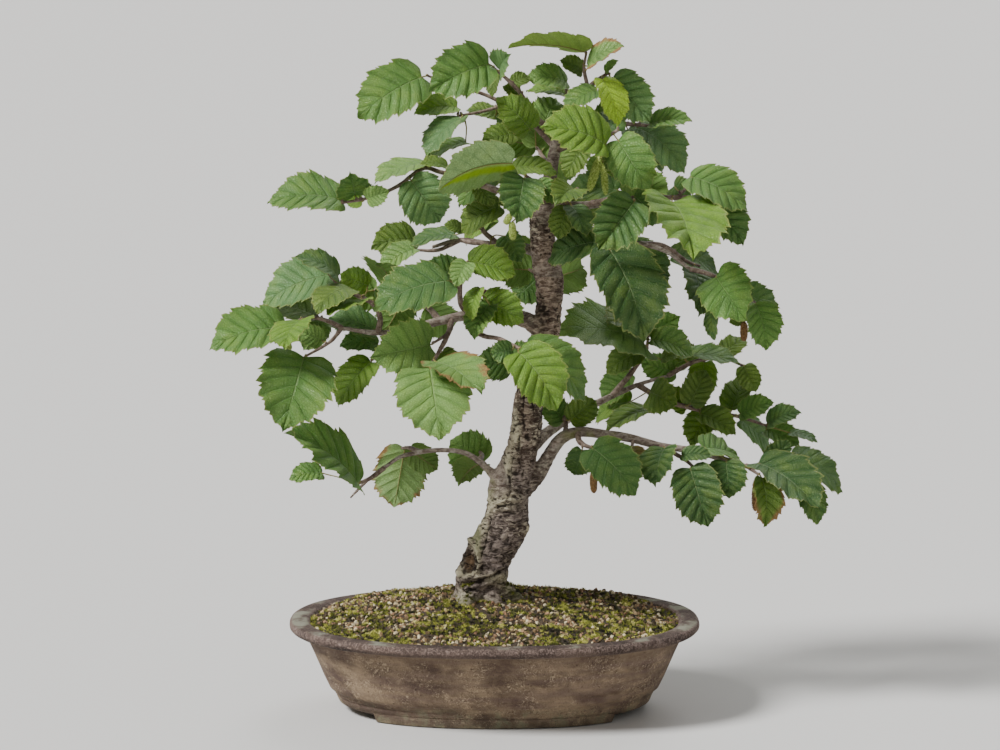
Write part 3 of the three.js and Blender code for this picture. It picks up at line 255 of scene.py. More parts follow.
def pick(sockets, name):
    """A socket by its number, or the first in use that has the name."""
    if isinstance(name, int):
        return [socket for socket in sockets if socket.enabled][name]
    return next(socket for socket in sockets if socket.enabled and socket.name == name)


def srgb(red, green, blue):
    """A colour as a light-linear value, from the 0 to 255 that a screen shows."""
    linear = [((value / 255 + 0.055) / 1.055) ** 2.4 for value in (red, green, blue)]
    return (*linear, 1.0)


def new_material(name, recipe):
    """A material from a recipe that gives a shader, or else the inputs of the usual one."""
    material = bpy.data.materials.new(name)
    material.use_nodes = True
    tree = material.node_tree
    tree.nodes.clear()
    wire = Wire(tree)
    shader = recipe(wire)
    if isinstance(shader, dict):
        shader = wire.node("ShaderNodeBsdfPrincipled", shader)
    output = tree.nodes.new("ShaderNodeOutputMaterial")
    tree.links.new(shader.socket, output.inputs["Surface"])
    return material


print("methods of a wire:", sum(callable(value) for value in vars(Wire).values()))

# %% [markdown]
# ## The pot
# A potter throws or presses such an oval from coarse stoneware and leaves it unglazed, so it is matt and
# a little uneven. Its section is the same all round, so the shell is a stack of ovals that follow one
# outline: from under the floor, up the wall, over the rolled rim and down inside. The two feet and the
# drainage holes are joined and cut with booleans, which keeps the pot one closed solid.

# %% The pot's outline
POT_LENGTH = 327 * MM
POT_DEPTH = 244 * MM
FOOT_LENGTH = 184 * MM
FOOT_STEPS = 40
FOOT_SLANT = 2.5 * MM
OVAL_POWER = 2.25
DRAIN_RADIUS = 9 * MM
DRAIN_SPACING = 116 * MM
DRAIN_CUT = 40 * MM
DRAIN_SIDES = 40
POT_SIDES = 176
CLAY_WAVE = 34 * MM
CLAY_PUSH = 0.35 * MM
CLAY_SEED = 7
SHARP_ANGLE = math.radians(40)

# Pairs of how far a point lies inside the rim's outermost line and its height, in mm: the underside, the
# band at the foot, a fine bead with a groove under it, the wall, the cove, the rolled rim and the inside
POT_OUTLINE = [
    (44, 5), (40.6, 5.2), (38.8, 6.4), (37.6, 9), (36.8, 11), (37, 11.8), (36.7, 12.6), (35.7, 13.1),
    (35, 15), (34.4, 16.2), (32.9, 16.8), (31.3, 18.2), (30.2, 20.6), (27.2, 27), (23.4, 36),
    (19.4, 45.4), (15.6, 54), (13.1, 59.6), (11.6, 61.6), (8.6, 62.2), (4.6, 62.8), (1.8, 63.9),
    (0.3, 65.6), (0, 67.4), (0.2, 69), (1, 70.4), (2.8, 71.2), (7, 71.5), (12.4, 71.3), (15.4, 70.4),
    (17.2, 68), (18.8, 64), (22.6, 54.6), (27.4, 43), (33.6, 30), (39.2, 19), (42.4, 14.6), (47, 13),
]
POT_FLOOR = 5
# The same pairs for a foot's section, whose upper part is sunk into the pot, up to FOOT_TOP
FOOT_OUTLINE = [
    (39.5, 0), (38.6, 0.5), (37.9, 5), (37.6, 7.2), (56, 7.2), (55, 5), (54.4, 0.6), (53.6, 0),
]
FOOT_TOP = 7


def oval_point(inset, height, angle):
    """A point of the pot's oval, so far inside the rim's outermost line."""
    cosine, sine = math.cos(angle), math.sin(angle)
    power = 2 / OVAL_POWER
    return POT_CENTRE + Vector((
        math.copysign(abs(cosine) ** power, cosine) * (POT_LENGTH / 2 - inset),
        math.copysign(abs(sine) ** power, sine) * (POT_DEPTH / 2 - inset),
        height,
    ))


def new_mesh(name, points, faces):
    """A mesh from points and faces."""
    mesh = bpy.data.meshes.new(name)
    mesh.from_pydata(points, [], faces)
    return mesh


def join_rings(name, rings):
    """A closed mesh through rings of points that all have the same count."""
    count = len(rings[0])
    points = [point for ring in rings for point in ring]
    faces = []
    for ring in range(len(rings) - 1):
        for side in range(count):
            following = (side + 1) % count
            a, b = ring * count + side, ring * count + following
            faces.append((a, b, b + count, a + count))
    faces.append(tuple(reversed(range(count))))
    faces.append(tuple(range(len(points) - count, len(points))))
    return new_mesh(name, points, faces)


def add_object(name, mesh, *materials):
    """Links a mesh to the scene as an object at the origin."""
    for material in materials:
        mesh.materials.append(material)
    return linked(name, mesh)


def settled(thing, name):
    """A plain mesh object from an object's evaluated modifiers. The source object is removed."""
    graph = bpy.context.evaluated_depsgraph_get()
    mesh = bpy.data.meshes.new_from_object(thing.evaluated_get(graph), depsgraph=graph)
    mesh.name = name
    bpy.data.objects.remove(thing)
    return add_object(name, mesh)


def triangles(thing):
    """The number of triangles in an object's mesh."""
    return sum(len(face.vertices) - 2 for face in thing.data.polygons)


print("outline:", len(POT_OUTLINE), "places, up to", max(height for _, height in POT_OUTLINE), "mm")


# %% The shell, the feet and the drainage holes
def pot_ring(inset, height):
    """One oval of the shell, pushed a little above the floor, as hand pressure leaves clay."""
    ring = []
    for side in range(POT_SIDES):
        point = oval_point(inset * MM, height * MM, 2 * math.pi * side / POT_SIDES)
        if height > POT_FLOOR:
            point += noise.noise_vector(point / CLAY_WAVE) * CLAY_PUSH
        ring.append(point)
    return ring


def foot_mesh(side):
    """A wide low foot under one long side, which follows the oval and has slanted ends."""
    rings = []
    for step in range(FOOT_STEPS + 1):
        across = (step / FOOT_STEPS - 0.5) * FOOT_LENGTH
        slant = math.copysign(FOOT_SLANT, across) if step in (0, FOOT_STEPS) else 0
        ring = []
        for inset, height in FOOT_OUTLINE:
            half_length = POT_LENGTH / 2 - inset * MM
            reach = (1 - (abs(across) / half_length) ** OVAL_POWER) ** (1 / OVAL_POWER)
            lean = slant * min(height / FOOT_TOP, 1)
            ring.append(POT_CENTRE + Vector((
                side * (across + lean), side * (POT_DEPTH / 2 - inset * MM) * reach, height * MM
            )))
        rings.append(ring)
    return join_rings("foot", rings)


def cut_with(thing, tool, operation):
    """Joins a tool to an object, or cuts it away, and removes the tool."""
    modifier = thing.modifiers.new("boolean", "BOOLEAN")
    modifier.operation = operation
    modifier.solver = "EXACT"
    modifier.object = tool
    made = settled(thing, thing.name)
    bpy.data.objects.remove(tool)
    return made


def facing_out(mesh):
    """Turns a closed mesh's faces outwards."""
    shape = bmesh.new()
    shape.from_mesh(mesh)
    bmesh.ops.recalc_face_normals(shape, faces=shape.faces)
    shape.to_mesh(mesh)
    shape.free()
    return mesh


def plain_mesh(name, shape):
    """A mesh from an edited shape, which is freed."""
    mesh = bpy.data.meshes.new(name)
    shape.to_mesh(mesh)
    shape.free()
    return mesh


def drain_hole(side):
    """A cylinder where a drainage hole goes through the floor."""
    shape = bmesh.new()
    bmesh.ops.create_cone(
        shape, cap_ends=True, segments=DRAIN_SIDES, radius1=DRAIN_RADIUS, radius2=DRAIN_RADIUS,
        depth=DRAIN_CUT,
        matrix=Matrix.Translation(POT_CENTRE + Vector((side * DRAIN_SPACING / 2, 0, DRAIN_CUT / 4))),
    )
    return plain_mesh("drain", shape)


# Without a seed the noise vectors start from the clock, and the pot would differ a little each run
noise.seed_set(CLAY_SEED)
pot = add_object("pot_shell", facing_out(join_rings("pot", [pot_ring(*place) for place in POT_OUTLINE])))
for side in (-1, 1):
    pot = cut_with(pot, add_object("foot", facing_out(foot_mesh(side))), "UNION")
    pot = cut_with(pot, add_object("drain", drain_hole(side)), "DIFFERENCE")
pot.data.shade_smooth()
pot.data.set_sharp_from_angle(angle=SHARP_ANGLE)
print("pot:", triangles(pot), "triangles")

# %% [markdown]
# ## The wood
# The trunk and the limbs grew as one body, with no seam where a limb leaves the trunk. Tubes along smooth
# lines give the frame of it, and a voxel remesh melts them into one skin with soft crotches. Old hazel
# bark is then worked into that skin: lumps, cross wrinkles, cracks, pits, the collars of lost branches
# and a healed hollow near the foot. A number for each corner keeps how high it stands in the bark, so
# that the finish can darken the cracks and pale what stands proud: partly the bark's own colours, and
# partly painted shade and a painted highlight.

# %% The lines of the trunk and the limbs
# Each place is [column, row, depth in mm, radius in mm]
TRUNK_LINE = [
    [476, 618, 0, 23], [477, 606, 0, 21], [480, 592, 0, 20], [482, 574, -1, 19.6], [486, 559, -3, 19],
    [496, 543, -5, 17.8], [504, 528, -6, 18], [508, 508, -7, 16.8], [511, 484, -8, 16.6],
    [517, 466, -8, 14], [523, 448, -7, 12.4], [527, 418, -4, 12.6], [532, 386, 0, 11.3],
    [540, 356, 2, 10.6], [546, 330, 3, 10.8], [549, 300, 4, 10.4], [548, 272, 4, 11.6],
    [543, 243, 3, 10.2], [541, 222, 2, 9.4], [548, 192, 1, 6.4], [552, 165, 0, 5], [559, 132, 0, 4.2],
    [572, 108, 1, 3.4],
]
LIMB_LINES = [
    [
        [508, 486, -8, 8], [493, 474, -10, 5.8], [480, 462, -12, 4.3], [465, 453, -15, 3.7],
        [440, 450, -19, 3.4], [415, 453, -24, 3.2], [400, 457, -27, 3], [385, 467, -30, 2.8],
        [370, 478, -33, 2.4], [350, 498, -36, 1.8],
    ],
    [
        [524, 488, -6, 8.5], [538, 474, -6, 6.8], [548, 457, -6, 5.4], [562, 438, -4, 4.8],
        [580, 432, 0, 4.3], [602, 434, 4, 3.9], [630, 438, 6, 3.6], [660, 446, 4, 3.2], [690, 450, 0, 2.9],
        [720, 458, -4, 2.6], [748, 467, -8, 2],
    ],
    [
        [527, 450, 0, 7], [548, 432, 30, 5.4], [580, 412, 62, 4.2], [612, 396, 84, 3.4],
        [640, 384, 98, 2.6], [668, 376, 108, 2],
    ],
    [
        [547, 332, 2, 9], [526, 320, -4, 7.4], [500, 315, -9, 6], [470, 315, -14, 5],
        [440, 321, -18, 4.2], [405, 330, -22, 3.3], [378, 333, -24, 2.6], [342, 328, -26, 2],
    ],
    [
        [544, 208, 0, 5], [522, 197, -6, 3.8], [500, 191, -12, 3.2], [480, 184, -17, 2.8],
        [455, 175, -21, 2.3],
    ],
    [
        [545, 216, 0, 5.6], [562, 207, -6, 4.6], [590, 205, -16, 4], [630, 201, -26, 3.2],
        [660, 198, -34, 2.5],
    ],
    [
        [548, 268, 2, 6], [572, 255, -6, 4], [605, 246, -14, 3.3], [640, 244, -20, 2.8],
        [665, 251, -24, 2.4], [690, 269, -28, 1.9],
    ],
    [[546, 240, 6, 5.4], [556, 226, 34, 3.8], [572, 214, 66, 2.8], [590, 206, 92, 2]],
    [[543, 254, 4, 5.6], [520, 247, 26, 3.8], [490, 244, 50, 3], [460, 240, 68, 2.3], [432, 247, 78, 1.8]],
]
# How slim each limb is, as a share of the radii above, away from its crotch
LIMB_GIRTHS = [0.6, 1.0, 0.8, 0.86, 0.8, 0.8, 0.8, 0.9, 0.9]
# Root spurs: heading in degrees from +X, reach and radius in mm
ROOT_SPURS = [(356, 40, 12), (66, 36, 9.5), (128, 34, 9), (184, 27, 8), (246, 34, 10), (306, 34, 9)]
TRUNK_FOOT = drawn(479, 600, 0)


def spline_point(before, start, end, after, share):
    """A point between start and end on a centripetal curve through four points."""
    gaps = [math.sqrt((b - a).length) for a, b in ((before, start), (start, end), (end, after))]
    leaving = (start - before) / gaps[0] - (end - before) / (gaps[0] + gaps[1]) + (end - start) / gaps[1]
    arriving = (end - start) / gaps[1] - (after - start) / (gaps[1] + gaps[2]) + (after - end) / gaps[2]
    leaving *= gaps[1]
    arriving *= gaps[1]
    return (
        start + leaving * share
        + (3 * (end - start) - 2 * leaving - arriving) * share**2
        + (2 * (start - end) + leaving + arriving) * share**3
    )


def stations(line, steps):
    """Points and radii on a smooth line through drawn places, with so many steps from place to place."""
    points = [drawn(*place[:3]) for place in line]
    points = [2 * points[0] - points[1], *points, 2 * points[-1] - points[-2]]
    made = []
    for span in range(len(line) - 1):
        for step in range(steps + (span == len(line) - 2)):
            share = step / steps
            point = spline_point(*points[span:span + 4], share)
            radius = line[span][3] + (line[span + 1][3] - line[span][3]) * share
            made.append((point, radius * MM))
    return made


print("limbs:", len(LIMB_LINES), "and root spurs:", len(ROOT_SPURS))

# %% One skin over all the wood
WOOD_VOXEL = 1.0 * MM
TRUNK_STEPS, LIMB_STEPS = 6, 5
TRUNK_SIDES, LIMB_SIDES, ROOT_SIDES = 32, 16, 14
# The number of stations out of its crotch over which a limb gets slim
CROTCH_STATIONS = 7
# A root from inside the trunk outwards: share of its reach, rise over the foot in mm, share of its radius
ROOT_SHAPE = [(0.1, 14, 1), (0.35, 9, 0.95), (0.6, 1.5, 0.8), (0.8, -3, 0.62), (1, -8, 0.42)]
# Heights in mm: the trunk has no flutes above the first and its full flutes below the second
FLUTES_END, FLUTES_FULL = 260, 40


def flutes(angle, height):
    """How the old trunk swells into shallow flutes and knots, at a height in mm."""
    share = min(max((FLUTES_END - height) / (FLUTES_END - FLUTES_FULL), 0), 1)
    flute = math.cos(angle * 3 + height * 0.028) * 0.05 + math.cos(angle * 5 - height * 0.061) * 0.035
    return 1 + flute * share + math.sin(height * 0.17 + math.sin(angle) * 2.1) * 0.03


def tube_rings(line, sides, swelling=None):
    """Rings of points round a line of stations, which don't twist along it."""
    rings = []
    across = None
    for index, (point, radius) in enumerate(line):
        along = (line[min(index + 1, len(line) - 1)][0] - line[max(index - 1, 0)][0]).normalized()
        if across is None:
            guide = Vector((0, 0, 1)) if abs(along.z) < 0.9 else Vector((1, 0, 0))
            across = guide.cross(along)
        across = (across - along * across.dot(along)).normalized()
        third = along.cross(across)
        ring = []
        for side in range(sides):
            angle = 2 * math.pi * side / sides
            reach = radius * (swelling(angle, point.z / MM) if swelling else 1)
            ring.append(point + across * (math.cos(angle) * reach) + third * (math.sin(angle) * reach))
        rings.append(ring)
    return rings


def spur_line(heading, reach, radius):
    """A root's stations, from inside the trunk down into the soil."""
    along = Vector((math.cos(math.radians(heading)), math.sin(math.radians(heading)), 0))
    return [
        (TRUNK_FOOT + along * (reach * share * MM) + Vector((0, 0, rise * MM)), radius * size * MM)
        for share, rise, size in ROOT_SHAPE
    ]


def slimmed(line, girth):
    """A limb's stations, thinned from a short way out of its crotch."""
    return [
        (point, radius * (girth + (1 - girth) * max(0, 1 - index / CROTCH_STATIONS)))
        for index, (point, radius) in enumerate(line)
    ]


trunk_stations = stations(TRUNK_LINE, TRUNK_STEPS)
limb_stations = [
    slimmed(stations(line, LIMB_STEPS), girth) for line, girth in zip(LIMB_LINES, LIMB_GIRTHS)
]
root_stations = [spur_line(*spur) for spur in ROOT_SPURS]
wood_rings = [tube_rings(trunk_stations, TRUNK_SIDES, flutes)]
wood_rings += [tube_rings(line, LIMB_SIDES) for line in limb_stations]
wood_rings += [tube_rings(line, ROOT_SIDES) for line in root_stations]
wood_shape = bmesh.new()
for rings in wood_rings:
    tube = join_rings("tube", rings)
    wood_shape.from_mesh(tube)
    bpy.data.meshes.remove(tube)
wood = add_object("trunk_bark", plain_mesh("wood", wood_shape))
remesh = wood.modifiers.new("one skin", "REMESH")
remesh.mode = "VOXEL"
remesh.voxel_size = WOOD_VOXEL
smooth = wood.modifiers.new("soft crotches", "SMOOTH")
smooth.factor = 0.5
smooth.iterations = 3
wood = settled(wood, "trunk_bark")
print("wood:", triangles(wood), "triangles")

# %% [markdown]
# The bark's relief is a sum of patterns, each with its own size. A pattern is noise that is read at
# stretched places: squeezed along the height it gives cross wrinkles, and drawn out it gives cracks.
# Thick wood is old and rough, and thin wood is young and smooth, so the radius of the nearest line says
# how much of the relief each corner gets. The marks that the front shows are placed on the drawing.

# %% The marks on the bark
# Marks on the front: [column, row, half-width, half-height, height in mm], negative where it is hollow
BARK_MARKS = [
    [468, 561, 6, 11, -3], [490, 480, 8, 9, 2.6], [487, 497, 6, 8, 1.6], [496, 471, 4, 6, -1.8],
    [503, 484, 4, 10, -2], [499, 478, 3, 5, 2.4], [491, 512, 3, 3, -1.6], [461, 598, 8, 7, 0.8],
    [515, 590, 12, 6, 1.8], [530, 599, 10, 5, 1.4], [498, 588, 8, 4, -1.5],
    [524, 528, 4, 10, 1.4], [509, 545, 8, 4, 0.8], [528, 500, 4, 6, 1.0], [505, 440, 3, 10, -1.2],
    [536, 430, 4, 4, 1.4], [548, 402, 4, 5, 1.2], [521, 402, 3, 9, -1.0], [552, 346, 4, 5, 1.2],
    [534, 300, 3, 12, -0.9], [560, 262, 4, 5, 1.2], [532, 255, 4, 6, 1.3],
]
# Ridges on the front: half-width, height in mm, and the [column, row] places that each runs through
BARK_RIDGES = [
    (1.5, 3, [[475, 540], [466, 547], [460, 557], [458, 568], [461, 577]]),
    (1.6, 2.4, [[474, 543], [478, 552], [480, 563], [477, 572]]),
    (2, 2.2, [[501, 566], [491, 573], [478, 577], [463, 580]]),
    (1.8, 1.6, [[504, 573], [493, 581], [479, 586], [464, 589]]),
    (1.6, -1.6, [[503, 570], [491, 577], [478, 581.5], [462, 585]]),
    (2, 1.8, [[493, 508], [486, 520], [479, 531], [472, 540]]),
    (1.2, -1.4, [[490, 522], [487, 533], [485, 545], [481, 556]]),
    (1.8, 1.6, [[529, 508], [528, 520], [523, 532], [517, 543], [513, 556]]),
    (1.4, 1.4, [[497, 503], [507, 500], [517, 500], [526, 496]]),
    (1.2, -1.3, [[497, 507], [508, 505], [520, 505]]),
    (1.3, 1.2, [[495, 511], [506, 509], [518, 511]]),
    (1.2, 1.2, [[505, 519], [515, 521], [524, 517]]),
    (1.4, 1.2, [[512, 441], [511, 456], [507, 470]]),
    (1.2, -1.4, [[519, 436], [518, 452], [521, 468]]),
    (1.3, -1.3, [[509, 478], [511, 490], [508, 500]]),
    (1.3, -1.2, [[524, 395], [522, 412], [524, 430]]),
]
# Where the front bark is tinted: [column, row, half-width, half-height]
BARK_TINTS = {
    # Partly pale bark, and partly a painted highlight down the trunk's left side
    "cream": [
        [489, 505, 5, 12], [483, 524, 5, 14], [474, 541, 5, 10], [460, 558, 3, 18], [478, 557, 3, 14],
        [460, 598, 9, 9], [508, 464, 5, 20], [516, 432, 5, 24], [496, 578, 12, 6], [505, 500, 14, 9],
        [470, 574, 12, 4],
    ],
    "mauve": [
        [503, 543, 13, 20], [517, 470, 7, 22], [490, 565, 9, 13], [524, 420, 6, 20], [547, 280, 14, 50],
    ],
    "algae": [
        [520, 588, 16, 11], [489, 484, 6, 14], [573, 434, 12, 9], [466, 606, 30, 8], [478, 532, 4, 20],
        [600, 436, 26, 5],
    ],
    "hollow": [[468, 562, 5, 9]],
}
print("bark:", len(BARK_MARKS), "marks and", len(BARK_RIDGES), "ridges on the front")

# %% The bark's relief
RIDGE_STRENGTH = 1.4
YOUNG_RADIUS = 3.0 * MM
OLD_RADIUS = 9.5 * MM


def mesh_points(mesh):
    """A mesh's points and normals as arrays."""
    points = np.empty(len(mesh.vertices) * 3, np.float32)
    normals = np.empty_like(points)
    mesh.vertices.foreach_get("co", points)
    mesh.vertices.foreach_get("normal", normals)
    return points.reshape(-1, 3).astype(float), normals.reshape(-1, 3).astype(float)


def noise_over(points, sizes, seed):
    """Noise from -1 to 1 at each point, with pattern sizes in mm along X, Y and Z."""
    places = points / (np.array(sizes) * MM) + seed
    return np.array([noise.noise(Vector(place)) for place in places])


def soft(values, start, end):
    """0 before start and 1 after end, with a soft change between them."""
    share = np.clip((values - start) / (end - start), 0, 1)
    return share * share * (3 - 2 * share)


def keep_numbers(mesh, name, values):
    """Stores a number for each corner of a mesh."""
    layer = mesh.attributes.new(name, "FLOAT", "POINT")
    layer.data.foreach_set("value", np.asarray(values, np.float32))


wood_points, wood_normals = mesh_points(wood.data)
wood_stations = [place for line in [trunk_stations, *limb_stations, *root_stations] for place in line]
line_tree = kdtree.KDTree(len(wood_stations))
for index, (point, _) in enumerate(wood_stations):
    line_tree.insert(point, index)
line_tree.balance()
girth = np.array([wood_stations[line_tree.find(Vector(point))[1]][1] for point in wood_points])
age = soft(girth, YOUNG_RADIUS, OLD_RADIUS)

lumps = noise_over(wood_points, (17, 17, 22), 3)
wrinkles = noise_over(wood_points, (11, 11, 2.6), 11)
cracks = 1 - np.abs(noise_over(wood_points, (5, 5, 15), 23)) * 5
pits = noise_over(wood_points, (4.2, 4.2, 3.2), 37)
scales = 1 - np.abs(noise_over(wood_points, (6, 6, 4.5), 43)) * 3
grain = noise_over(wood_points, (1.9, 1.9, 1.9), 51)
column, row = seen(wood_points)
facing = soft(wood_normals @ -np.array(SIGHT), 0.05, 0.45)


def mark_shape(mark_column, mark_row, half_width, half_height):
    """1 in a mark on the front and 0 outside it."""
    reach = ((column - mark_column) / half_width) ** 2 + ((row - mark_row) / half_height) ** 2
    return np.exp(-(reach**1.3))


def near_line(places, half_width):
    """1 on a line over the front and 0 away from it."""
    nearest = np.full(len(column), np.inf)
    for (start_column, start_row), (end_column, end_row) in zip(places, places[1:]):
        run, fall = end_column - start_column, end_row - start_row
        share = ((column - start_column) * run + (row - start_row) * fall) / (run * run + fall * fall)
        share = np.clip(share, 0, 1)
        gap = np.hypot(column - start_column - run * share, row - start_row - fall * share)
        nearest = np.minimum(nearest, gap)
    return np.exp(-((nearest / half_width) ** 2))


marks = sum(height * mark_shape(*place) for *place, height in BARK_MARKS)
marks += RIDGE_STRENGTH * sum(
    height * near_line(places, half_width) for half_width, height, places in BARK_RIDGES
)
deep_cracks = np.clip(cracks, 0, 1) * soft(noise_over(wood_points, (16, 16, 20), 61), -0.15, 0.25)
old_relief = (
    0.8 * lumps + 0.6 * wrinkles - 0.8 * deep_cracks - 0.8 * soft(pits, 0.3, 0.5) + 0.5 * grain
    + 0.5 * np.clip(scales, -0.5, 1)
)
young_relief = 0.22 * lumps + 0.16 * wrinkles + 0.12 * grain
relief = old_relief * age + young_relief * (1 - age) + marks * facing * age
wood_points += wood_normals * (relief * MM)[:, None]
wood.data.vertices.foreach_set("co", wood_points.astype(np.float32).ravel())
wood.data.update()
wood.data.shade_smooth()
keep_numbers(wood.data, "height_in_bark", relief - 0.5 * marks * facing * age + 0.25 * grain)
for tint, places in BARK_TINTS.items():
    keep_numbers(wood.data, tint, np.minimum(sum(mark_shape(*place) for place in places), 1) * facing)
keep_numbers(wood.data, "age", age)
print("bark relief from", round(float(relief.min()), 1), "to", round(float(relief.max()), 1), "mm")
